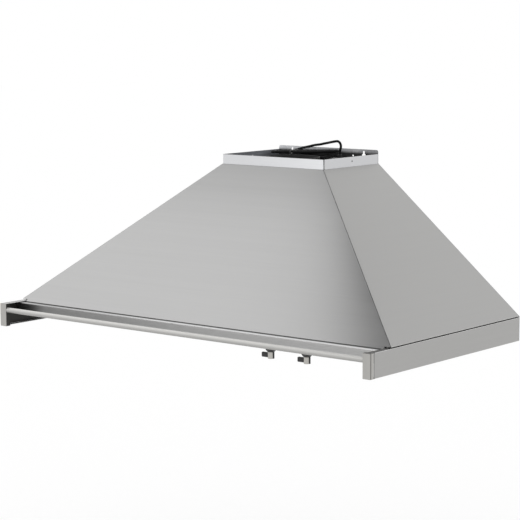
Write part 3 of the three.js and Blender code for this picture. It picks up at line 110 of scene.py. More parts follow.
# %% [markdown]
# Shader maths reads best as formulas. A small class holds a socket and turns +, - and * into Math
# nodes, so `1 - mask` works as it is written. Every other node comes from one method that takes
# the node's type, its settings and what goes into its sockets.


# %% Shader maths
class Value:
    """A socket in a node tree, with arithmetic on it."""

    def __init__(self, tree, socket):
        self.tree, self.socket = tree, socket

    def math(self, operation, a, b):
        return self.tree.node("ShaderNodeMath", {"operation": operation}, {0: a, 1: b})

    def __add__(self, other):
        return self.math("ADD", self, other)

    def __sub__(self, other):
        return self.math("SUBTRACT", self, other)

    def __rsub__(self, other):
        return self.math("SUBTRACT", other, self)

    def __mul__(self, other):
        return self.math("MULTIPLY", self, other)

    __radd__, __rmul__ = __add__, __mul__


# %% A finish
class Finish:
    """A material's node tree, emptied. `shade` gives it one Principled shader."""

    def __init__(self, name):
        self.material = bpy.data.materials.new(name)
        self.material.use_nodes = True
        self.nodes = self.material.node_tree.nodes
        self.links = self.material.node_tree.links
        self.nodes.clear()
        self.output = self.nodes.new("ShaderNodeOutputMaterial")

    def node(self, kind, settings=None, sockets=None, out=0):
        made = self.nodes.new(kind)
        for key, value in (settings or {}).items():
            setattr(made, key, value)
        for key, value in (sockets or {}).items():
            self.feed(made.inputs[key], value)
        return Value(self, made.outputs[out])

    def feed(self, socket, value):
        if isinstance(value, Value):
            self.links.new(value.socket, socket)
        else:
            socket.default_value = value

    def place(self, stretch=(1, 1, 1)):
        """Object coordinates, stretched along each axis."""
        spot = self.node("ShaderNodeTexCoord", out="Object")
        return self.node("ShaderNodeMapping", {}, {"Vector": spot, "Scale": stretch})

    def noise(self, where, scale, detail=3.0, roughness=0.5):
        return self.node("ShaderNodeTexNoise", {}, {
            "Vector": where, "Scale": scale, "Detail": detail, "Roughness": roughness})

    def between(self, value, low, high, start, end):
        """value from start..end carried over to low..high."""
        return self.node("ShaderNodeMapRange", {}, {
            "Value": value, "From Min": start, "From Max": end, "To Min": low, "To Max": high})

    def tint(self, share, first, second):
        """The colour between two colours; 6, 7 and 2 are the Mix node's sockets for colours."""
        return self.node(
            "ShaderNodeMix", {"data_type": "RGBA"}, {0: share, 6: first, 7: second}, 2)

    def darker(self, colour, share):
        """The colour times a share, which brightens it when it is above 1."""
        return self.node(
            "ShaderNodeVectorMath", {"operation": "SCALE"}, {0: colour, "Scale": share})

    def along(self, axis):
        """One of the object coordinates, in metres."""
        return self.node("ShaderNodeSeparateXYZ", {}, {
            "Vector": self.node("ShaderNodeTexCoord", out="Object")}, "XYZ".index(axis))

    def ramp(self, value, *stops):
        """Straight lines through (value, result) stops, level beyond the ends."""
        (start, first), (end, second) = stops[:2]
        curve = self.between(value, first, second, start, end)
        for (a, low), (b, high) in zip(stops[1:], stops[2:]):
            curve = curve + self.between(value, 0, high - low, a, b)
        return curve

    def bump(self, height, strength, distance):
        return self.node("ShaderNodeBump", {}, {
            "Height": height, "Strength": strength, "Distance": distance})

    def shade(self, **sockets):
        """The material, with a Principled shader whose sockets are fed by name."""
        shader = self.node("ShaderNodeBsdfPrincipled", {}, {
            key.replace("_", " "): value for key, value in sockets.items()})
        self.feed(self.output.inputs["Surface"], shader)
        return self.material


# %% Greys
NOISE_SPAN = (0.3, 0.7)                   # where nearly all of a noise's values lie


def grey(level, warm=0.0):
    """A linear colour near grey; warm above zero takes blue out of it."""
    return (level * (1 + warm * 0.4), level, level * (1 - warm), 1)


print("a warm grey:", [round(part, 3) for part in grey(0.5, 0.05)])

# %% [markdown]
# Stainless sheet is ground with a belt, which leaves fine parallel lines. Seen from a few
# metres they only spread the reflection and make it faintly streaky. A noise that is stretched
# along the grain gives those streaks: it changes the colour and the roughness by a few
# hundredths and raises a very low bump. Each panel has its own direction of grain.


# %% Brushed steel
STREAKS, LINES = (0.6, 60), (6, 900)      # stretch along the grain and across it
LINE_STRENGTH, LINE_DEPTH = 0.12, 0.00002


def along_grain(axis, along, across):
    """A stretch for each of the three axes."""
    return tuple(along if name == axis else across for name in "xyz")


def brushed(name, colour, rough, axis, streak=0.04, metal=1.0, shade=None):
    """Ground sheet steel, with its lines along 'x', 'y' or 'z'; `shade` makes its own colour."""
    steel = Finish(name)
    bands = steel.noise(
        steel.place(along_grain(axis, *STREAKS)), 1.0, detail=4.0, roughness=0.6)
    lines = steel.noise(steel.place(along_grain(axis, *LINES)), 1.0, detail=2.0, roughness=0.7)
    clouds = steel.noise(steel.place(), 3.0, detail=2.0)
    mark = bands * 0.5 + lines * 0.35 + clouds * 0.15
    dark = tuple(c * (1 - streak) for c in colour[:3]) + (1,)
    pale = tuple(min(1, c * (1 + streak)) for c in colour[:3]) + (1,)
    share = steel.between(mark, 0, 1, *NOISE_SPAN)
    tone = steel.tint(share, dark, pale)
    return steel.shade(
        Base_Color=shade(steel, tone) if shade else tone,
        Metallic=metal,
        Roughness=steel.between(mark, rough * 0.86, rough * 1.14, *NOISE_SPAN),
        Normal=steel.bump(lines, LINE_STRENGTH, LINE_DEPTH),
    )


# %% Even steels
# Each grey is set to how bright its sheet looks in the light, so the greys hold painted light: the
# canopy's front is paler than its sides, a lit and a shaded copy of one steel.
CANOPY_GREY, SIDE_GREY, TRIM_GREY = grey(0.54, 0.004), grey(0.405, 0.015), grey(0.45, 0.06)
canopy_front_steel = brushed("canopy_front_steel", CANOPY_GREY, 0.32, "x")
canopy_side_steel = brushed("canopy_side_steel", SIDE_GREY, 0.36, "y")
base_steel = brushed("base_steel", grey(0.39, 0.02), 0.36, "y")
trim_steel = brushed("trim_steel", TRIM_GREY, 0.3, "x", streak=0.03)
block_steel = brushed("block_steel", grey(0.415, 0.04), 0.34, "z", streak=0.03)
collar_side_steel = brushed("collar_side_steel", grey(0.59, -0.02), 0.34, "y", streak=0.05)
filter_steel = brushed("filter_steel", CANOPY_GREY, 0.34, "x")
# Near-black steel for painted shade: shadow lines on the dark folds and the steps in the gap under
# the canopy's foot.
painted_shade_steel = brushed("painted_shade_steel", grey(0.035, 0.08), 0.5, "y", metal=0.6)
print("even steels made")

# %% [markdown]
# Sheet steel mirrors the room that it hangs in, so no panel is quite even. A modelled room would
# be large and slow. A few sheets get painted light and shade instead, as straight ramps along an
# axis of the hood, because those stay in their place in every view.


# %% Shades of single sheets
def collar_shade(steel, tone):
    """Painted light: the collar's front brightens a little to the right."""
    return steel.darker(tone, steel.ramp(steel.along("X"), (-0.1, 0.93), (0.05, 1.0), (0.2, 1.12)))


def fold_highlight_and_seam_shade(steel, tone):
    """Painted highlights on the folds, and painted shade on the side panels' ends in their seams
    with the end blocks.
    """
    return steel.darker(tone, steel.ramp(steel.along("Y"), (-0.629, 0.1), (-0.626, 1.0)))


def fascia_shade(steel, tone):
    """The wing and the rail shade the fascia: darker to the left and downwards."""
    across = steel.ramp(
        steel.along("X"),
        (-0.59, 0.3), (-0.53, 0.4), (-0.5, 0.55), (-0.3, 0.64), (0.1, 0.9), (0.4, 1.0))
    down = steel.ramp(steel.along("Z"), (up(28), 0.8), (up(42), 0.82), (up(54), 1.12))
    return steel.darker(tone, across * down)


def ledge_highlight_and_shadow(steel, tone):
    """A painted highlight on the ledge, less of it to the left, up to a painted shadow line under
    the canopy's foot.
    """
    across = steel.ramp(steel.along("X"), (-0.5, 0.62), (-0.3, 0.8), (-0.05, 1.0))
    back = steel.ramp(steel.along("Y"), (-0.578, 1.0), (-0.571, 0.3))
    return steel.darker(tone, across * back)


def rail_shade(steel, tone):
    """Painted light: the rail is bright along its top and darker towards its lower side."""
    down = steel.ramp(steel.along("Z"), (up(37), 0.72), (up(43), 0.9), (up(48), 1.25))
    return steel.darker(tone, down)


def wing_shade(steel, tone):
    """A painted reflection of a dark room: the wings' inner faces are dark towards the front."""
    return steel.darker(tone, steel.ramp(steel.along("Y"), (-0.48, 0.09), (-0.4, 1.0)))


def well_shade(steel, tone):
    """Painted shade: the inner face of the left collar sheet is darker towards the front corner."""
    return steel.darker(tone, steel.ramp(steel.along("Y"), (-0.3, 0.2), (-0.2, 0.6), (-0.08, 1.0)))


# %% Shaded steels
wing_steel = brushed("wing_steel", grey(0.39, 0.08), 0.5, "y", metal=0.6, shade=wing_shade)
# A lit copy of the collar's steel, paler than the collar's sides: painted light.
collar_steel = brushed(
    "collar_steel", grey(0.74, -0.02), 0.34, "x", streak=0.05, shade=collar_shade)
# Pale steel for the bright folds: a painted highlight, with painted shade at the side panels' front
# ends.
fold_highlight_steel = brushed(
    "fold_highlight_steel", grey(0.86), 0.45, "y", streak=0.03, metal=0.1, shade=fold_highlight_and_seam_shade)
well_steel = brushed(
    "well_steel", grey(0.24, -0.1), 0.5, "y", streak=0.03, metal=0.2, shade=well_shade)
fascia_steel = brushed("fascia_steel", CANOPY_GREY, 0.34, "x", shade=fascia_shade)
# Pale steel on the ledge's top: a painted highlight, with a painted shadow line at the back.
lit_ledge_steel = brushed(
    "lit_ledge_steel", grey(0.86), 0.45, "x", streak=0.03, metal=0.1, shade=ledge_highlight_and_shadow)
rail_steel = brushed(
    "rail_steel", grey(0.56, 0.03), 0.4, "x", streak=0.03, metal=0.35, shade=rail_shade)
print("shaded steels made")

# %% [markdown]
# The inner sheets and the blower are galvanised: molten zinc froze on them in flat crystals,
# each with its own grey. Voronoi cells make those crystals, and noise breaks up their edges.


# %% Zinc
EDGE_BEND = (0.01, 0.01, 0.01)            # how far noise moves the crystals' edges, in metres


def galvanised(name, level, size, metal=0.9, shade=None):
    """Zinc in crystals of that size in metres; `shade` makes its own colour."""
    zinc = Finish(name)
    spot = zinc.place()
    bend = zinc.node(
        "ShaderNodeTexNoise", {}, {"Vector": spot, "Scale": 60.0, "Detail": 2.0}, "Color")
    shifted = zinc.node(
        "ShaderNodeVectorMath", {"operation": "MULTIPLY_ADD"}, {0: bend, 1: EDGE_BEND, 2: spot})
    cells = zinc.node("ShaderNodeTexVoronoi", {}, {"Vector": shifted, "Scale": 1 / size}, "Color")
    tone = zinc.node("ShaderNodeSeparateColor", {}, {"Color": cells}, 0)
    haze = zinc.noise(spot, 12.0)
    mark = tone * 0.6 + haze * 0.4
    colour = zinc.tint(mark, grey(level * 0.82, -0.03), grey(level * 1.12, -0.03))
    return zinc.shade(
        Base_Color=shade(zinc, colour) if shade else colour,
        Metallic=metal,
        Roughness=zinc.between(mark, 0.38, 0.56, 0.2, 0.8),
        Normal=zinc.bump(tone, 0.1, 0.00005),
    )


zinc_sheet = galvanised("zinc_sheet", 0.36, size=0.012)
wheel_zinc = galvanised("wheel_zinc", 0.42, size=0.008)


def hanger_shade(zinc, colour):
    """Painted light on the hanger's left end, a painted shadow behind the cord, and painted shade
    down in the well.
    """
    across = zinc.ramp(
        zinc.along("X"), (-0.15, 1.0), (-0.1, 0.95), (0.02, 0.62), (0.1, 0.62), (0.13, 0.42))
    down = zinc.ramp(zinc.along("Z"), (up(452), 0.05), (up(456.5), 0.7), (up(459), 1.0))
    return zinc.darker(colour, across * down)


# The back panel's faces towards the room: pale zinc with painted light and shade.
lit_and_shaded_panel_zinc = galvanised("lit_and_shaded_panel_zinc", 0.89, size=0.012, metal=0.0, shade=hanger_shade)
print("zinc made")

# %% [markdown]
# The plastics are black and grey mouldings with a fine grain, the cord has a smooth matt
# sheath, and the motor is painted. They aren't metals: their gloss comes from the coat of
# plastic alone, so a dark colour, a middling roughness and a fine bump are enough.


# %% Plastics, paint, cord and lens
def moulded(name, colour, rough, bumps=1500.0, depth=0.00003, gloss=0.5):
    """Plastic or paint with a fine grain: so many bumps to a metre, so deep in metres."""
    plastic = Finish(name)
    spot = plastic.place()
    grain = plastic.noise(spot, bumps, detail=2.0, roughness=0.6)
    haze = plastic.noise(spot, 25.0)
    pale = tuple(c * 1.35 for c in colour[:3]) + (1,)
    return plastic.shade(
        Base_Color=plastic.tint(haze, colour, pale),
        Roughness=plastic.between(haze, rough * 0.85, rough * 1.15, *NOISE_SPAN),
        Normal=plastic.bump(grain, 0.25, depth),
        Specular_IOR_Level=gloss,
    )


black_plastic = moulded("black_plastic", grey(0.012), 0.36)
duct_plastic = moulded("duct_plastic", grey(0.02), 0.5)
cord_sheath = moulded("cord_sheath", grey(0.009, -0.06), 0.5, bumps=900.0, gloss=0.07)
grey_plastic = moulded("grey_plastic", grey(0.12), 0.5)
motor_paint = moulded("motor_paint", grey(0.1, -0.05), 0.38, bumps=400.0, depth=0.0001)

lens = Finish("lamp_lens")
frost = lens.noise(lens.place(), 900.0, detail=2.0)
lamp_lens = lens.shade(
    Base_Color=(0.86, 0.88, 0.88, 1),
    Roughness=lens.between(frost, 0.25, 0.4, *NOISE_SPAN),
    Normal=lens.bump(frost, 0.2, 0.00005),
    Subsurface_Weight=0.2,
)
print("plastics, paint, cord sheath and lens made")

# %% [markdown]
# Each CAD piece takes the finish of what it is made of. A table from the start of a piece's
# name to its finish keeps the list short: the longest start that matches wins.

# %% Finishes on the CAD pieces
FINISHES = {
    "canopy_front": canopy_front_steel, "canopy": canopy_side_steel, "back_panel": zinc_sheet,
    "collar_front": collar_steel, "collar": collar_side_steel,
    "side_panel": base_steel, "end_block": block_steel, "front_rail": rail_steel,
    "front_fascia": fascia_steel, "rear_base_rail": filter_steel, "top_plate": zinc_sheet,
    "duct_ring": duct_plastic, "damper_flap": duct_plastic, "damper_pin": wheel_zinc,
    "lamp_housing": trim_steel, "lamp_lens": lamp_lens, "baffle_filter": filter_steel,
    "filter_latch": trim_steel, "fan_switch": grey_plastic, "light_switch": grey_plastic,
    "fan_spindle": trim_steel, "light_spindle": trim_steel, "fan_knob": black_plastic,
    "light_knob": black_plastic, "fan_knob_sleeve": trim_steel, "light_knob_sleeve": trim_steel,
    "scroll": zinc_sheet, "inlet_ring": wheel_zinc, "impeller": wheel_zinc, "motor": motor_paint,
    "motor_shaft": trim_steel, "motor_bracket": zinc_sheet, "capacitor": grey_plastic,
    "junction_box": zinc_sheet, "control_cable": cord_sheath, "cord": cord_sheath,
    "cord_gland": black_plastic, "cord_tie": black_plastic, "plug": black_plastic,
}


def finish_of(name):
    return FINISHES[max((key for key in FINISHES if name.startswith(key)), key=len)]


for name, node in NODES.items():
    node.data.materials.clear()
    node.data.materials.append(finish_of(name))
print(len(NODES), "CAD pieces have a finish")

# %% [markdown]
# ## Tools for modelling
# Every new piece but the cord starts as a primitive and is shaped with mesh operators, and its
# modifiers are applied. `turned` works as a lathe does: it starts with a circle and extrudes it
# from one point of the profile to the next. `block` is a box with rounded edges, and
# `rounded_copy` takes a CAD solid, merges its loose triangles into whole faces and rounds its
# edges.


# %% Modelling tools
def deselect():
    if bpy.context.object and bpy.context.object.mode != "OBJECT":
        bpy.ops.object.mode_set(mode="OBJECT")
    bpy.ops.object.select_all(action="DESELECT")


def take(piece):
    """The piece alone is selected and active."""
    deselect()
    piece.select_set(True)
    bpy.context.view_layer.objects.active = piece


def apply(piece, kind, **settings):
    """A modifier of that kind, applied."""
    take(piece)
    modifier = piece.modifiers.new(kind.lower(), kind)
    for key, value in settings.items():
        setattr(modifier, key, value)
    bpy.ops.object.modifier_apply(modifier=modifier.name)
    return piece


def bevelled(piece, width, segments=2, angle=30, material=-1):
    return apply(piece, "BEVEL", width=width * MM, segments=segments, limit_method="ANGLE",
                 angle_limit=math.radians(angle), use_clamp_overlap=True, material=material)


def smoothed(piece, angle=30):
    take(piece)
    bpy.ops.object.shade_smooth_by_angle(angle=math.radians(angle))
    return piece


def placed(piece, place):
    """The piece's mesh is moved, so that its object stays at the origin."""
    piece.data.transform(place)
    return piece


def shift(x, y, z):
    """A move to a point given in metres."""
    return Matrix.Translation((x, y, z))


ALONG_X = Matrix.Rotation(math.radians(90), 4, "Y")       # a lathe's axis turned to +X
ALONG_Y = Matrix.Rotation(math.radians(-90), 4, "X")      # a lathe's axis turned to +Y
ALONG_MINUS_Y = Matrix.Rotation(math.radians(90), 4, "X")
WELD, WELD_SOLID = 0.000005, 0.00001      # points closer than this, in metres, become one
FLAT = math.radians(0.5)                  # faces that differ by less become one


# %% Turned pieces
def turned(name, profile, sides, ring=False):
    """A turned piece about Z from (radius, height) points in millimetres; a ring has a bore."""
    deselect()
    radius, height = profile[0]
    bpy.ops.mesh.primitive_circle_add(vertices=sides, radius=radius * MM, location=(0, 0, 0),
                                      fill_type="NOTHING" if ring else "NGON")
    piece = bpy.context.object
    piece.name = piece.data.name = name
    bpy.ops.object.mode_set(mode="EDIT")
    bpy.ops.mesh.select_all(action="SELECT")
    bpy.ops.transform.translate(value=(0, 0, height * MM))
    for next_radius, next_height in profile[1:] + (profile[:1] if ring else []):
        bpy.ops.mesh.extrude_region_move(
            TRANSFORM_OT_translate={"value": (0, 0, (next_height - height) * MM)})
        share = next_radius / radius
        bpy.ops.transform.resize(value=(share, share, 1), center_override=(0, 0, next_height * MM))
        radius, height = next_radius, next_height
    bpy.ops.mesh.select_all(action="SELECT")
    bpy.ops.mesh.remove_doubles(threshold=WELD)
    bpy.ops.mesh.normals_make_consistent(inside=False)
    bpy.ops.object.mode_set(mode="OBJECT")
    return smoothed(piece)


# %% Blocks, rods and cuts
def block(name, low, high, round_edges, segments=3):
    """A box between two corners in millimetres, with rounded edges."""
    deselect()
    bpy.ops.mesh.primitive_cube_add(size=1)
    piece = bpy.context.object
    piece.name = piece.data.name = name
    size = [(b - a) * MM for a, b in zip(low, high)]
    middle = [(b + a) * MM / 2 for a, b in zip(low, high)]
    placed(piece, shift(*middle) @ Matrix.Diagonal((*size, 1)))
    return smoothed(bevelled(piece, round_edges, segments), 40)


def rod(name, radius, low, high, sides, chamfer=0.3):
    """A turned rod from one height to another, with chamfered ends."""
    return turned(name, [
        (radius - chamfer, low), (radius, low + chamfer), (radius, high - chamfer),
        (radius - chamfer, high)], sides)


def cut(piece, tool):
    """The tool's shape is cut out of the piece, and the tool is gone."""
    apply(piece, "BOOLEAN", operation="DIFFERENCE", object=tool, solver="EXACT")
    bpy.data.objects.remove(tool)


# %% Joining and copying
def merged(name, *pieces):
    """The pieces become one mesh."""
    take(pieces[0])
    for piece in pieces:
        piece.select_set(True)
    bpy.ops.object.join()
    pieces[0].name = pieces[0].data.name = name
    return pieces[0]


def copied(piece, name, place):
    """A copy with a mesh of its own, moved."""
    twin = bpy.data.objects.new(name, piece.data.copy())
    bpy.context.scene.collection.objects.link(twin)
    return placed(twin, place)


# %% Bodies
def settle(piece, body, slot, finish, *nodes):
    """The finished piece rides on its body and stands for the CAD nodes."""
    piece.data.materials.clear()
    piece.data.materials.append(finish)
    for polygon in piece.data.polygons:
        polygon.material_index = 0
    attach(piece, body)
    if nodes:
        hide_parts(*nodes)
    return piece


def body_of(node):
    return NODES[node]["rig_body"]


# %% A rounded copy of a CAD solid
def rounded_copy(node, width, angle=30, folds=None, faces=None):
    """A CAD solid with its edges rounded by a width in millimetres, or left sharp with 0.

    `folds` is the finish of the rounded edges. `faces` is a finish and the test that says which
    faces get it.
    """
    source = NODES[node]
    piece = bpy.data.objects.new("round_" + node, source.data.copy())
    bpy.context.scene.collection.objects.link(piece)
    take(piece)
    bpy.ops.object.mode_set(mode="EDIT")
    bpy.ops.mesh.select_all(action="SELECT")
    bpy.ops.mesh.remove_doubles(threshold=WELD_SOLID)
    bpy.ops.mesh.dissolve_limited(angle_limit=FLAT)
    bpy.ops.object.mode_set(mode="OBJECT")
    if piece.data.has_custom_normals:
        bpy.ops.mesh.customdata_custom_splitnormals_clear()
    own = source.data.materials[0]
    piece.data.materials.clear()
    for finish in [own, folds or own] + ([faces[0]] if faces else []):
        piece.data.materials.append(finish)
    if faces:
        for polygon in piece.data.polygons:
            if faces[1](polygon):
                polygon.material_index = 2
    if width:
        bevelled(piece, width, angle=angle, material=1 if folds else -1)
    smoothed(piece, angle)
    apply(piece, "WEIGHTED_NORMAL", keep_sharp=True, weight=100)
    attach(piece, body_of(node))
    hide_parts(node)


def middle_of(node):
    """The middle of a CAD piece's box, in metres."""
    low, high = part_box(node)
    return (low + high) / 2


def span_of(node):
    low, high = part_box(node)
    return high - low


# %% [markdown]
# ## Folded sheets
# A real fold isn't a knife edge: the sheet bends over a small radius, and that narrow round
# catches the light as a bright line. The CAD solids have sharp edges, so each sheet is copied
# with rounded edges, and the copy stands for the solid. Modelling the sheets again would only
# repeat the CAD. Small castings and pressings get the same. On some folds the bright line is a
# painted highlight in a pale finish, and others get a painted shadow line in a dark finish. A
# few faces have a finish of their own, with painted light and shade.

# %% Rounded copies
ROUNDED = {
    "canopy_front_panel": 0.6, "canopy_left_panel": 0.3, "canopy_right_panel": 0.3,
    "side_panel_left": 0.8, "side_panel_right": 0.8, "front_fascia": 0.45, "rear_base_rail": 0.4,
    "collar_front": 0.4, "collar_left": 0.2, "collar_right": 0.3, "end_block_left": 0.5,
    "end_block_right": 0.5, "baffle_filter_left": 0.2, "baffle_filter_centre": 0.2,
    "baffle_filter_right": 0.2, "filter_latch_left": 0.5, "filter_latch_centre": 0.5,
    "filter_latch_right": 0.5, "damper_flap_front": 0.2, "damper_flap_rear": 0.2,
    "junction_box": 0.3, "junction_box_cover": 0.3, "scroll_side_left": 0.2,
    "scroll_side_right": 0.2, "motor_bracket": 0.3, "fan_switch": 0.6, "light_switch": 0.6,
    "cord_tie": 0.2, "top_plate": 0.3,
}
# These folds get a painted highlight.
HIGHLIGHT_FOLDS = ("canopy_left_panel", "canopy_right_panel", "side_panel_left", "side_panel_right")
# These folds get a painted shadow line where a gap lies in shade.
SHADOW_LINE_FOLDS = (
    "canopy_front_panel", "collar_front", "collar_right", "end_block_left", "end_block_right")
FOLDS = dict.fromkeys(HIGHLIGHT_FOLDS, fold_highlight_steel) | dict.fromkeys(SHADOW_LINE_FOLDS, painted_shade_steel)

# %% Faces with a finish of their own
FACING = 0.9                             # how squarely a face looks along an axis, 1 is exactly
WINGS_FROM = 0.55                        # metres from the hood's middle to where the wings start


def inward(sign):
    """A test for the faces of a wing, left -1 or right 1, that look to the hood's middle."""
    return lambda face: face.normal.x * sign < -FACING and abs(face.center.x) > WINGS_FROM


def into_the_room(face):
    return face.normal.y < -FACING


def in_the_well(face):
    return face.normal.x > FACING


def on_step(face):
    """The upright part of the canopy's foot, behind the gap over the side panels."""
    return abs(face.normal.x) > FACING


def on_ledge(face):
    """The upper side of the fascia's ledge, at its top."""
    return face.normal.z > FACING and face.center.z > up(54)


# These faces carry painted light and shade: a painted reflection on the wings, a painted highlight
# on the ledge, and painted shade in the collar's well and on the canopy's steps.
FACES = {
    "side_panel_left": (wing_steel, inward(-1)), "end_block_left": (wing_steel, inward(-1)),
    "side_panel_right": (wing_steel, inward(1)), "end_block_right": (wing_steel, inward(1)),
    "front_fascia": (lit_ledge_steel, on_ledge), "collar_left": (well_steel, in_the_well),
    "canopy_left_panel": (painted_shade_steel, on_step), "canopy_right_panel": (painted_shade_steel, on_step),
}
print("sheets with such faces:", len(FACES))

# %% Making the copies
for node, width in ROUNDED.items():
    rounded_copy(node, width, folds=FOLDS.get(node), faces=FACES.get(node))
rounded_copy("scroll_wrap", 0)
rounded_copy("impeller", 0)
rounded_copy("control_cable", 0, angle=50)
rounded_copy("back_panel", 0, faces=(lit_and_shaded_panel_zinc, into_the_room))

# %% [markdown]
# ## The front rail
# A thin tube of satin steel between the end blocks. Its ends vanish in the blocks' sockets. A
# curve with a round bevel would give the same outside, but a turned ring also has the tube's
# wall and its chamfered mouths.

# %% Front rail
rail_size = span_of("front_rail") / MM
rail_radius, rail_half = rail_size.z / 2, rail_size.x / 2
RAIL_WALL, CHAMFER = 1.2, 0.3
rail = turned("rail_tube", [
    (rail_radius - RAIL_WALL, -rail_half), (rail_radius - CHAMFER, -rail_half),
    (rail_radius, -rail_half + CHAMFER), (rail_radius, rail_half - CHAMFER),
    (rail_radius - CHAMFER, rail_half), (rail_radius - RAIL_WALL, rail_half),
], 64, ring=True)
placed(rail, shift(*middle_of("front_rail")) @ ALONG_X)
settle(rail, "hood", "trim_steel", rail_steel, "front_rail")
print("rail", round(rail_size.z, 1), "mm thick and", round(rail_size.x), "mm long")

# %% [markdown]
# ## The knobs
# Each knob is a black moulding with a flared skirt just under the shelf, a lever to one side
# and a short tail to the other. A satin sleeve sits round its core. The round parts are turned
# and the lever and tail are rounded blocks, which keeps every size plain to read, as sculpting
# wouldn't. The radii and widths are those of the CAD knob, and its height and reach are
# measured on it.

# %% Knobs
SKIRT_RADIUS, SKIRT_HEIGHT, SKIRT_RIM, CORE_RADIUS, SLEEVE_RADIUS = 13.5, 8.3, 3.0, 6.0, 8.0
LEVER_WIDTH, LEVER_BOTTOM, LEVER_TOP, TAIL_WIDTH, TAIL_REACH = 8.0, 2.0, 14.0, 5.0, 9.0
SLOT_ROOM = 0.3


def knob(name):
    """The black moulding. The body that it rides on has the same name."""
    low, high = (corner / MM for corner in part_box(name))
    axis = middle_of(name.replace("knob", "spindle")) / MM
    left, right = low.x - axis.x, high.x - axis.x
    tall, sleeve_top = high.z - low.z, high.z - low.z - SKIRT_HEIGHT
    skirt = turned("skirt", [
        (SLEEVE_RADIUS + 0.4, sleeve_top), (SLEEVE_RADIUS + 1.6, sleeve_top + 0.5),
        (SLEEVE_RADIUS + 3.2, sleeve_top + 2.6), (SKIRT_RADIUS - 0.7, tall - SKIRT_RIM - 0.4),
        (SKIRT_RADIUS, tall - SKIRT_RIM + 0.4), (SKIRT_RADIUS, tall - 0.5),
        (SKIRT_RADIUS - 0.3, tall),
    ], 64)
    core = turned("core", [
        (CORE_RADIUS - 0.8, 0), (CORE_RADIUS - 0.2, 0.2), (CORE_RADIUS, 0.8),
        (CORE_RADIUS, sleeve_top + 0.2)], 48)
    half = LEVER_WIDTH / 2
    lever = block("lever", (left, -half, LEVER_BOTTOM), (-CORE_RADIUS + 2, half, LEVER_TOP), 2.2, 4)
    tail = block("tail", (CORE_RADIUS - 2, -TAIL_WIDTH / 2, 0.3),
                 (min(right, TAIL_REACH), TAIL_WIDTH / 2, sleeve_top - 0.3), 0.8)
    whole = merged("black_" + name, skirt, core, lever, tail)
    placed(whole, shift(axis.x * MM, axis.y * MM, low.z * MM))
    settle(whole, name, "black_plastic", black_plastic, name)


# %% Knob sleeves
def knob_sleeve(body):
    """The CAD sleeve's faceted ring again, rounder, with the slots for the lever and tail."""
    name = body + "_sleeve"
    low, high = (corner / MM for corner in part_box(name))
    axis = middle_of(body.replace("knob", "spindle")) / MM
    tall = high.z - low.z
    ring = turned("satin_" + name, [
        (CORE_RADIUS + 0.3, 0), (SLEEVE_RADIUS - 0.5, 0), (SLEEVE_RADIUS, 0.5),
        (SLEEVE_RADIUS, tall - 0.3), (SLEEVE_RADIUS - 0.3, tall), (CORE_RADIUS + 0.3, tall),
    ], 64, ring=True)
    lever_side, tail_side = LEVER_WIDTH / 2 + SLOT_ROOM, TAIL_WIDTH / 2 + SLOT_ROOM
    slots = [
        block("lever_room", (-20, -lever_side, -2), (0, lever_side, LEVER_TOP), 0.2),
        block("tail_room", (0, -tail_side, -2), (12, tail_side, tall + 2), 0.2),
    ]
    for tool in slots:
        cut(ring, tool)
    smoothed(ring)
    placed(ring, shift(axis.x * MM, axis.y * MM, low.z * MM))
    settle(ring, body, "trim_steel", trim_steel, name)


for name in ("fan_knob", "light_knob"):
    knob(name)
    knob_sleeve(name)
print("knobs modelled")

# %% [markdown]
# ## The lamps
# A pressed rim holds a frosted lens with fine rings. Both are turned, and so is the cap that
# closes the housing at the back. A bump could draw the rings, but real steps also show at the
# lens's edge.

# %% Lamps
LENS_RINGS, RINGED_SHARE, LENS_DISH, LAMP_LIP = 9, 0.9, 0.9, 4.5
for side in ("left", "right"):
    node = "lamp_housing_" + side
    low, high = (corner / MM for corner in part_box(node))
    rim, tall = (high.x - low.x) / 2, high.z - low.z
    body_radius = rim - LAMP_LIP
    housing = turned("lamp_can_" + side, [
        (body_radius - 1.5, 0.3), (body_radius - 0.9, 0), (rim - 0.8, 0), (rim, 0.5), (rim, 1.6),
        (body_radius, 1.6), (body_radius, tall - 2.5), (body_radius - 2.5, tall),
        (4, tall), (4, tall - 1.5), (body_radius - 3, tall - 1.5), (body_radius - 1.5, tall - 3.2),
        (body_radius - 1.5, 5.0), (body_radius - 3, 5.0), (body_radius - 3, 4.2),
        (body_radius - 1.5, 4.2),
    ], 64, ring=True)
    place = shift(*middle_of(node).xy, low.z * MM)
    cap = turned("lamp_cap", [(4.2, tall - 1.4), (4.2, tall - 0.1)], 24)
    settle(placed(merged("lamp_can_" + side, housing, cap), place), "hood", "zinc_sheet",
           trim_steel, node)
    node = "lamp_lens_" + side
    low, high = (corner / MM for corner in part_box(node))
    edge, thick = (high.x - low.x) / 2, high.z - low.z
    steps = []
    for i in range(LENS_RINGS):
        outer = edge * (1 - i / LENS_RINGS * RINGED_SHARE)
        dip = LENS_DISH * (outer / edge) ** 2
        steps += [(outer, dip + 0.25), (outer - edge * 0.05, dip)]
    glass = turned("lamp_glass_" + side, [(edge, thick)] + steps, 64)
    settle(placed(glass, shift(*middle_of(node).xy, low.z * MM)), "hood", "lens", lamp_lens, node)
print("lamps modelled")

# %% [markdown]
# ## The duct ring and its damper
# A black moulding with a flange on the top plate, small ribs round its foot and a stop inside
# for the two flaps. One profile turned about the axis gives flange, lip and stop in a single
# closed skin, where parts stuck on a tube would leave seams. One rib is modelled and copied
# round the foot. The steel pin runs from wall to wall.

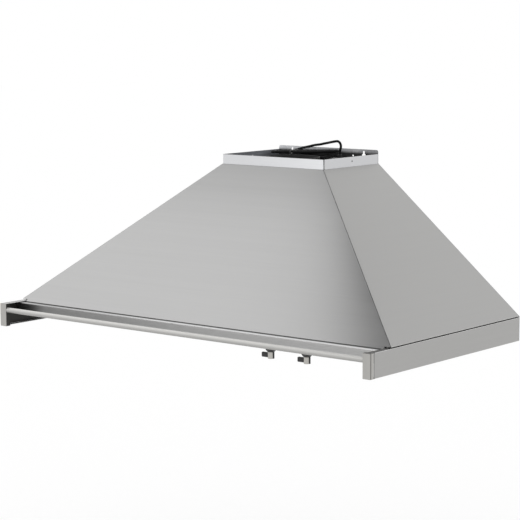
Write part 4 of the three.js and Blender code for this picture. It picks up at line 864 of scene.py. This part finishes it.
# %% Duct
DUCT_WALL, DUCT_FLANGE, FLANGE_THICK, STOP_REACH, STOP_DROP = 2.5, 5.0, 2.5, 2.0, 0.9
SOCKET_ROOM, SOCKET_DEPTH = 0.3, 1.4
PLATE_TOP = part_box("top_plate")[1].z / MM
DUCT = middle_of("duct_ring") / MM
duct_low, duct_high = (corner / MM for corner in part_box("duct_ring"))
duct_outside = (duct_high.x - duct_low.x) / 2 - DUCT_FLANGE
duct_inside = duct_outside - DUCT_WALL
flange_low = PLATE_TOP + 0.3
flange_top = flange_low + FLANGE_THICK
pin_radius = span_of("damper_pin").z / MM / 2
pin_height = middle_of("damper_pin").z / MM
stop = pin_height - STOP_DROP
spigot = turned("duct_spigot", [
    (duct_inside, duct_low.z), (duct_outside, duct_low.z), (duct_outside, flange_low),
    (duct_outside + DUCT_FLANGE, flange_low), (duct_outside + DUCT_FLANGE, flange_top - 0.4),
    (duct_outside + DUCT_FLANGE - 0.4, flange_top), (duct_outside + 0.5, flange_top),
    (duct_outside, flange_top + 0.5), (duct_outside - 0.2, duct_high.z - 0.6),
    (duct_outside - 0.8, duct_high.z), (duct_inside + 0.6, duct_high.z),
    (duct_inside, duct_high.z - 0.6), (duct_inside, stop), (duct_inside - STOP_REACH, stop),
    (duct_inside - STOP_REACH, stop - 1.5), (duct_inside, stop - 3),
], 96, ring=True)
placed(spigot, shift(DUCT.x * MM, DUCT.y * MM, 0))
socket_radius, socket_reach = pin_radius + SOCKET_ROOM, duct_inside + SOCKET_DEPTH
socket = turned("pin_socket", [(socket_radius, -socket_reach), (socket_radius, socket_reach)], 24)
placed(socket, shift(*middle_of("damper_pin")) @ ALONG_X)
cut(spigot, socket)
settle(smoothed(spigot), "hood", "black_plastic", duct_plastic, "duct_ring")
print("duct ring", round(duct_outside * 2), "mm outside and", round(duct_inside * 2), "inside")

# %% Damper pin and foot ribs
pin_half = span_of("damper_pin").x / MM / 2
pin = rod("flap_pin", pin_radius, -pin_half, pin_half, 24)
placed(pin, shift(*middle_of("damper_pin")) @ ALONG_X)
settle(pin, "hood", "zinc_sheet", wheel_zinc, "damper_pin")
RIBS = 24
rib = block("foot_rib", (-0.6, 0.05, 0), (0.6, 2.4, 3.4), 0.3)
for i in range(RIBS):
    turn = Matrix.Rotation(math.tau * (i + 0.5) / RIBS, 4, "Z")
    place = shift(DUCT.x * MM, DUCT.y * MM, (flange_top - 0.1) * MM) @ turn @ shift(
        0, duct_outside * MM, 0)
    settle(copied(rib, f"foot_rib_{i:02d}", place), "hood", "black_plastic", duct_plastic)
bpy.data.objects.remove(rib)
print("duct modelled")

# %% [markdown]
# ## The blower
# The CAD solids have few sides, so that they stay light. The bell mouths, the motor and its
# shaft, the capacitor and the knobs' spindles are turned again with more, and the motor's case
# gets grooves round its middle. The scroll and the wheel stay as they are.

# %% Bell mouths
MOUTH_RADIUS, MOUTH_DEPTH = 60.0, 12
for side, way in (("left", -1), ("right", 1)):
    node = "inlet_ring_" + side
    low, high = (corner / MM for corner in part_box(node))
    r = MOUTH_RADIUS
    mouth = turned("bell_mouth_" + side, [
        (r, -MOUTH_DEPTH), (r + 0.9, -MOUTH_DEPTH), (r + 1.6, -2), (r + 1.6, 0.3),
        (r + 13.9, 0.3), (r + 14, 1.1), (r + 13.5, 1.3), (r + 4, 1.8), (r + 2.4, 1.6),
        (r + 1.2, 0.8), (r + 0.4, -0.5), (r, -2),
    ], 96, ring=True)
    if way < 0:
        placed(mouth, Matrix.Rotation(math.pi, 4, "X"))
    edge = low.x + MOUTH_DEPTH if way > 0 else high.x - MOUTH_DEPTH
    spot = middle_of(node)
    placed(mouth, shift(edge * MM, spot.y, spot.z) @ ALONG_X)
    settle(mouth, "hood", "zinc_sheet", wheel_zinc, node)
print("bell mouths", MOUTH_RADIUS * 2, "mm wide")

# %% Motor and shaft
MOTOR_GROOVES, GROOVES_FROM, GROOVE_PITCH = 5, 20, 9
low, high = (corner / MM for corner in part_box("motor"))
motor_radius, motor_axis = (high.z - low.z) / 2, middle_of("motor")
shaft_low, shaft_high = (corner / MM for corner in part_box("motor_shaft"))
shaft_radius = (shaft_high.z - shaft_low.z) / 2
profile = [(motor_radius - 12, low.x), (motor_radius - 9, low.x + 0.7),
           (motor_radius - 1, low.x + 6), (motor_radius, low.x + 8)]
for groove in range(MOTOR_GROOVES):
    start = low.x + GROOVES_FROM + groove * GROOVE_PITCH
    profile += [(motor_radius, start), (motor_radius - 1.2, start + 0.6),
                (motor_radius - 1.2, start + 3.4), (motor_radius, start + 4)]
profile += [(motor_radius, high.x - 8), (motor_radius - 8, high.x - 3), (12, high.x - 3),
            (11.5, high.x), (shaft_radius + 0.1, high.x), (shaft_radius + 0.1, shaft_low.x - 0.3)]
case = turned("motor_case", profile, 64)
placed(case, shift(0, motor_axis.y, motor_axis.z) @ ALONG_X)
settle(case, "hood", "motor_paint", motor_paint, "motor")
shaft = rod("motor_axle", shaft_radius, shaft_low.x, shaft_high.x, 32, chamfer=0.4)
placed(shaft, shift(0, motor_axis.y, motor_axis.z) @ ALONG_X)
settle(shaft, "fan_wheel", "trim_steel", trim_steel, "motor_shaft")
print("motor", round(motor_radius * 2), "mm thick, with", MOTOR_GROOVES, "grooves")

# %% Capacitor and spindles
low, high = (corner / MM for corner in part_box("capacitor"))
can_radius, can_axis = (high.z - low.z) / 2, middle_of("capacitor")
can = turned("capacitor_can", [
    (can_radius - 1, low.x), (can_radius, low.x + 1), (can_radius, high.x - 8),
    (can_radius - 1, high.x - 6), (can_radius - 2, high.x - 5), (4, high.x - 5), (4, high.x)], 48)
placed(can, shift(0, can_axis.y, can_axis.z) @ ALONG_X)
settle(can, "hood", "grey_plastic", grey_plastic, "capacitor")
for which in ("fan", "light"):
    node = which + "_spindle"
    low, high = (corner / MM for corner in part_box(node))
    spindle = rod("spindle_" + which, (high.x - low.x) / 2, low.z, high.z, 32)
    placed(spindle, shift(*middle_of(node).xy, 0))
    settle(spindle, which + "_knob", "zinc_sheet", trim_steel, node)
print("blower modelled")

# %% [markdown]
# ## Screws
# One pan-head screw with a crossed recess is modelled and copied to where sheet metal is held:
# the duct ring's flange and the bell mouths. A drawn cross would look flat from the side, so the
# recess is really cut.

# %% Screws
SCREW_RADIUS = 2.2
CROSS_LONG, CROSS_WIDE = 1.3, 0.28        # half the recess's length and width
FLANGE_SCREWS, MOUTH_SCREWS, MOUTH_SCREWS_AT = 4, 6, 71
screw = turned("screw_head", [
    (SCREW_RADIUS, 0), (SCREW_RADIUS, 0.5), (SCREW_RADIUS * 0.9, 1.0),
    (SCREW_RADIUS * 0.62, 1.45), (SCREW_RADIUS * 0.3, 1.65), (0.1, 1.7)], 24)
for name, x, y in (("cross_x", CROSS_LONG, CROSS_WIDE), ("cross_y", CROSS_WIDE, CROSS_LONG)):
    cut(screw, block(name, (-x, -y, 0.8), (x, y, 3), 0.05, 1))
smoothed(screw)
print("screw head", SCREW_RADIUS * 2, "mm wide")

# %% Places of the screws
places = []
for i in range(FLANGE_SCREWS):
    turn = math.tau * (i + 0.5) / FLANGE_SCREWS
    reach = duct_outside + DUCT_FLANGE / 2 + 0.1
    places.append(("duct", shift(
        (DUCT.x + reach * math.cos(turn)) * MM, (DUCT.y + reach * math.sin(turn)) * MM,
        (flange_top - 0.05) * MM)))
for side, way in (("left", -1), ("right", 1)):
    low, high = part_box("inlet_ring_" + side)
    face = (high.x if way > 0 else low.x) - way * 0.5 * MM
    spot = middle_of("inlet_ring_" + side)
    outward = ALONG_X if way > 0 else Matrix.Rotation(math.pi, 4, "Z") @ ALONG_X
    for i in range(MOUTH_SCREWS):
        turn, reach = math.tau * (i + 0.5) / MOUTH_SCREWS, MOUTH_SCREWS_AT * MM
        places.append((side + "_inlet", shift(
            face, spot.y + reach * math.cos(turn), spot.z + reach * math.sin(turn)) @ outward))
for number, (where, place) in enumerate(places):
    settle(copied(screw, f"screw_{where}_{number:02d}", place), "hood", "zinc_sheet", wheel_zinc)
bpy.data.objects.remove(screw)
print("screws:", len(places))

# %% [markdown]
# ## The supply cord
# It leaves the gland on the top plate, rises in an arch, comes down to the left onto the folded
# hank, winds through its three and a half turns on two layers, and leaves at the right to end
# in its plug. The free stretches are listed: they are the points that the CAD tube
# follows, each measured from a fixed end. The hank follows its formula. A curve with a round
# bevel suits a cord best, because its path can be read and its length measured.

# %% Cord route
CORD_DIAMETER, FIT, BACK_SHEET = 6.6, 0.3, 1.2
HANK_X, HANK_HALF_RUN, HANK_INNER = -47.0, 75.0, 19.9     # middle, half a run, first fold
HANK_PITCH, HANK_LAYER_RISE, HANK_WALL_GAP = 7.5, 15.7, 1.6
HANK_WAIST, HANK_PINCH = 9.0, 8.5                         # drawn in and up at the tie
TIE_SHARE = -0.4                                          # its place along half a run
HANK_TILT = 0.045                                         # rise towards the gland
HANK_TURNS, STEPS_PER_TURN, STEPS_PER_STRETCH = 3.5, 48, 8
FOLD = 7 / 24                                             # a fold's share of a turn
CLIMB = (1 + 19 / 24, 2.0)                                # turns on which the layers change

CORD_RADIUS = CORD_DIAMETER / 2
HANK_REACH = HANK_INNER + HANK_PITCH * CLIMB[0]
HANK_Y = -(BACK_SHEET + HANK_WALL_GAP + CORD_RADIUS + HANK_REACH)
PLATE_REST = PLATE_TOP + FIT
LAYER_LOW = PLATE_REST + FIT + CORD_RADIUS + HANK_TILT * (HANK_HALF_RUN + HANK_REACH)
LAYER_HIGH = LAYER_LOW + HANK_LAYER_RISE
TIE_X = TIE_SHARE * HANK_HALF_RUN
print("hank", round(2 * (HANK_HALF_RUN + HANK_REACH + CORD_RADIUS)), "mm long")


# %% The hank's path
def hank_point(turns):
    """The cord's middle after that many turns, in millimetres."""
    part = turns % 1
    spread = CLIMB[0] - turns if turns < CLIMB[0] else max(0, turns - CLIMB[1])
    r = HANK_INNER + HANK_PITCH * spread
    ease = min(1, max(0, (turns - CLIMB[0]) / (CLIMB[1] - CLIMB[0])))
    half = HANK_HALF_RUN
    if part < FOLD:
        turn = math.pi / 2 + math.pi * part / FOLD
        x, y = -half + r * math.cos(turn), r * math.sin(turn)
    elif part < 0.5:
        x, y = -half + 2 * half * (part - FOLD) / (0.5 - FOLD), -r
    elif part < 0.5 + FOLD:
        turn = -math.pi / 2 + math.pi * (part - 0.5) / FOLD
        x, y = half + r * math.cos(turn), r * math.sin(turn)
    else:
        x, y = half - 2 * half * (part - 0.5 - FOLD) / (0.5 - FOLD), r
    waist = 0.5 + 0.5 * math.cos(math.pi * min(abs(x - TIE_X), half) / half)
    y -= math.copysign(HANK_WAIST * waist, y)
    low = LAYER_LOW + HANK_PINCH * waist
    z = LAYER_HIGH + (low - LAYER_HIGH) * ease * ease * (3 - 2 * ease) + HANK_TILT * x
    return Vector((HANK_X + x, HANK_Y + y, z))


# %% The free stretches
def smooth_line(points):
    """A centripetal Catmull-Rom curve through the points."""
    ends = [points[0] * 2 - points[1]] + points + [points[-1] * 2 - points[-2]]
    line = []
    for p0, p1, p2, p3 in zip(ends, ends[1:], ends[2:], ends[3:]):
        t1 = math.sqrt((p1 - p0).length)
        t2 = t1 + math.sqrt((p2 - p1).length)
        t3 = t2 + math.sqrt((p3 - p2).length)
        for i in range(STEPS_PER_STRETCH):
            t = t1 + (t2 - t1) * i / STEPS_PER_STRETCH
            a = p0.lerp(p1, t / t1)
            b = p1.lerp(p2, (t - t1) / (t2 - t1))
            c = p2.lerp(p3, (t - t2) / (t3 - t2))
            d = a.lerp(b, t / t2)
            e = b.lerp(c, (t - t1) / (t3 - t1))
            line.append(d.lerp(e, (t - t1) / (t2 - t1)))
    return line + [points[-1]]


def from_end(end, offsets):
    return [end + Vector(offset) for offset in offsets]


gland_low, gland_high = (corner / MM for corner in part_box("cord_gland"))
gland_axis = middle_of("cord_gland") / MM
plug_high, plug_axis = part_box("plug")[1] / MM, middle_of("plug") / MM
hank = [hank_point(i / STEPS_PER_TURN) for i in range(int(HANK_TURNS * STEPS_PER_TURN) + 1)]
straight = Vector((CORD_DIAMETER + FIT, 0, 0))
gland_end = Vector((gland_axis.x, gland_axis.y, gland_high.z + FIT))
landing, hank_end = hank[0] + straight, hank[-1] + straight
plug_mouth = Vector((plug_axis.x, plug_high.y + FIT, plug_axis.z))
arch = smooth_line(from_end(gland_end, [
    (0, 0, 0), (0, 0, 3.4), (0.1, 0, 6.8), (1.8, 0, 12.2), (3.3, 0.1, 17.4), (3.5, 0.2, 22.6),
    (1.6, 0.4, 27.8), (-2.2, 0.8, 31.6), (-7.4, 1.3, 33.7), (-13.6, 2, 33.5), (-27.4, 4.2, 31.2),
    (-42.4, 8, 28.4), (-62.4, 13, 24.8), (-80.4, 17.6, 21.5),
]) + from_end(landing, [
    (97, -22, 21), (67, -13.4, 15.2), (46, -5.6, 11.4), (33, -1.8, 8.5), (20, 0, 4.9),
    (7, 0, 0.7), (0, 0, 0),
]))
tail = smooth_line(from_end(hank_end, [(0, 0, 0), (8, 0, 0)]) + from_end(plug_mouth, [
    (-62, 33.8, -0.9), (-42, 34, -3.4), (-27, 33, -4.2), (-15, 28.5, -2.9), (-6, 20.5, -1.4),
    (-1, 11, -0.3), (0, 6.7, 0), (0, 0, 0),
]))
route = arch + hank + tail
cord_length = sum((b - a).length for a, b in zip(route, route[1:])) * MM
print("cord", round(cord_length, 3), "m")

# %% Cord
line = bpy.data.curves.new("supply_cord", "CURVE")
line.dimensions = "3D"
spline = line.splines.new("POLY")
spline.points.add(len(route) - 1)
for point, spot in zip(spline.points, route):
    point.co = (*(spot * MM), 1)
line.bevel_depth = CORD_RADIUS * MM
line.bevel_resolution = 5
line.use_fill_caps = True
supply_cord = bpy.data.objects.new("supply_cord", line)
bpy.context.scene.collection.objects.link(supply_cord)
line.materials.append(cord_sheath)
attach(supply_cord, "hood")
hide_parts("cord_stretch", "cord_hank", "cord_tail")
print("cord made from", len(route), "points")

# %% [markdown]
# The gland is a soft sleeve that keeps the cord from kinking where it leaves the plate, so it
# tapers in rings. The plug is a moulded grip with a ringed boot, two blades and a round earth
# pin. What is round is turned, and the grip and the blades are rounded blocks.

# %% Gland
GLAND_RINGS, GLAND_RING_PITCH, GLAND_TAPER = 4, 3.2, 0.3
STEM_RADIUS, SLEEVE_START = 6.2, 6.6
base = (gland_high.x - gland_low.x) / 2
rest, tip = PLATE_REST, gland_high.z
profile = [(STEM_RADIUS - 0.2, gland_low.z), (STEM_RADIUS, gland_low.z + 0.4),
           (STEM_RADIUS, rest), (base, rest), (base, rest + 4.4),
           (base - 0.6, rest + 5), (base - 2, rest + 6.2), (SLEEVE_START, rest + 7)]
for i in range(GLAND_RINGS):
    z, r = rest + 8 + i * GLAND_RING_PITCH, SLEEVE_START - i * GLAND_TAPER
    profile += [(r, z), (r, z + 1.9), (r - 1.0, z + 2.2), (r - 1.0, z + 2.9)]
profile += [(5.2, tip - 0.8), (4.8, tip)]
gland = turned("cord_strain_relief", profile, 48)
placed(gland, shift(gland_axis.x * MM, gland_axis.y * MM, 0))
settle(gland, "hood", "black_plastic", black_plastic, "cord_gland")
print("gland with", GLAND_RINGS, "rings")

# %% Plug
PLUG_WIDTH, PLUG_HEIGHT, BOOT, PLUG_LENGTH = 25.0, 19.0, 14.0, 38.0
BLADE_AT, BLADE_HALF_THICK, BLADE_LENGTH, EARTH_DROP = 6.3, 0.8, 16, 5.6
grip = block("plug_grip", (-PLUG_WIDTH / 2, -PLUG_LENGTH, -PLUG_HEIGHT / 2),
             (PLUG_WIDTH / 2, -BOOT, PLUG_HEIGHT / 2), 3.5, 5)
boot = turned("plug_boot", [
    (7.4, 0), (6.9, 2.4), (5.9, 2.8), (5.9, 3.6), (6.4, 4.2), (6.2, 6.4), (5.3, 6.8), (5.3, 7.6),
    (5.8, 8.2), (5.6, 10.4), (4.8, 10.8), (4.8, 11.6), (5.2, 12.2), (4.8, BOOT + 0.6)], 32)
placed(boot, shift(0, (-BOOT - 0.6) * MM, 0) @ ALONG_Y)
blades = [block(f"plug_blade_{i}", (x - BLADE_HALF_THICK, -PLUG_LENGTH - BLADE_LENGTH, -1),
                (x + BLADE_HALF_THICK, -PLUG_LENGTH + 1, 5.3), 0.35)
          for i, x in enumerate((-BLADE_AT, BLADE_AT))]
earth = turned("plug_earth", [(2.4, -1), (2.4, 16.4), (1.4, 18)], 24)
placed(earth, shift(0, -PLUG_LENGTH * MM, -EARTH_DROP * MM) @ ALONG_MINUS_Y)
mouth = shift(*((plug_mouth - Vector((0, FIT, 0))) * MM))
plug_body = placed(merged("plug_body", grip, boot), mouth)
settle(plug_body, "hood", "black_plastic", black_plastic, "plug")
plug_pins = placed(merged("plug_pins", *blades, earth), mouth)
settle(plug_pins, "hood", "trim_steel", trim_steel)
print("cord and plug modelled")

# %% [markdown]
# ## Floor, background and light
# The hood hangs on a wall in use, and in the picture it floats before white. A large white
# floor lies well below it and keeps the hood's soft shadow. The camera, mirrors and glass see it
# white. For light that bounces it is grey, or else the hood's underside would be too bright.

# %% Floor
FLOOR_SIZE, FLOOR_Z = 60, up(-900)
FLOOR_BOUNCE = 0.55
deselect()
bpy.ops.mesh.primitive_plane_add(size=FLOOR_SIZE, location=(0, 0, FLOOR_Z))
floor = bpy.context.object
floor.name = "floor"


def seen_by(finish, *rays):
    """1 where the ray is one of these kinds, else 0."""
    share = finish.node("ShaderNodeLightPath", out=rays[0])
    for ray in rays[1:]:
        share = share.math("MAXIMUM", share, finish.node("ShaderNodeLightPath", out=ray))
    return share


ground = Finish("floor_white")
seen = seen_by(ground, "Is Camera Ray", "Is Glossy Ray", "Is Transmission Ray")
shown = ground.node("ShaderNodeBsdfDiffuse", {}, {"Color": (1, 1, 1, 1)})
bounce = ground.node("ShaderNodeBsdfDiffuse", {}, {"Color": grey(FLOOR_BOUNCE)})
ground.feed(ground.output.inputs["Surface"],
            ground.node("ShaderNodeMixShader", {}, {0: seen, 1: bounce, 2: shown}))
floor.data.materials.append(ground.material)
print("floor", FLOOR_SIZE, "m wide")

# %% [markdown]
# The light comes from one even white sky. A lamp would leave a bright spot in the steel, and
# the picture has none.

# %% Sky
world = bpy.data.worlds.new("studio")
bpy.context.scene.world = world
world.use_nodes = True
sky = world.node_tree
sky.nodes.clear()
white = sky.nodes.new("ShaderNodeBackground")
white.inputs["Color"].default_value = (1, 1, 1, 1)
white.inputs["Strength"].default_value = 1.0
sky.links.new(white.outputs[0], sky.nodes.new("ShaderNodeOutputWorld").inputs["Surface"])
print("sky strength", white.inputs["Strength"].default_value)

# %% [markdown]
# In an even white room steel shows only its own colour. So two level cards that only mirrors see
# hang above the hood, as in a photographer's studio: a dark one in front and to the right, and
# a pale grey one behind it to the left. They give the canopy its shade.

# %% Cards
CARD_Z = 0.33


def card(name, low, high, level):
    """A level card that only mirrors see, between two corners (x, y) in metres."""
    deselect()
    bpy.ops.mesh.primitive_plane_add(size=1)
    piece = bpy.context.object
    piece.name = name
    middle = ((low[0] + high[0]) / 2, (low[1] + high[1]) / 2, CARD_Z)
    placed(piece, shift(*middle) @ Matrix.Diagonal((high[0] - low[0], high[1] - low[1], 1, 1)))
    felt = Finish(name)
    glow = felt.node("ShaderNodeEmission", {}, {"Color": grey(level), "Strength": 1.0})
    felt.feed(felt.output.inputs["Surface"], glow)
    piece.data.materials.append(felt.material)
    piece.visible_camera = piece.visible_diffuse = piece.visible_shadow = False


card("dark_card", (-0.02, -1.2), (0.8, -0.1), 0.04)
card("grey_card", (-1.1, -0.42), (-0.02, 0.5), 0.75)
print("cards hang", CARD_Z, "m above the origin")

bpy.context.scene.view_settings.view_transform = "Standard"
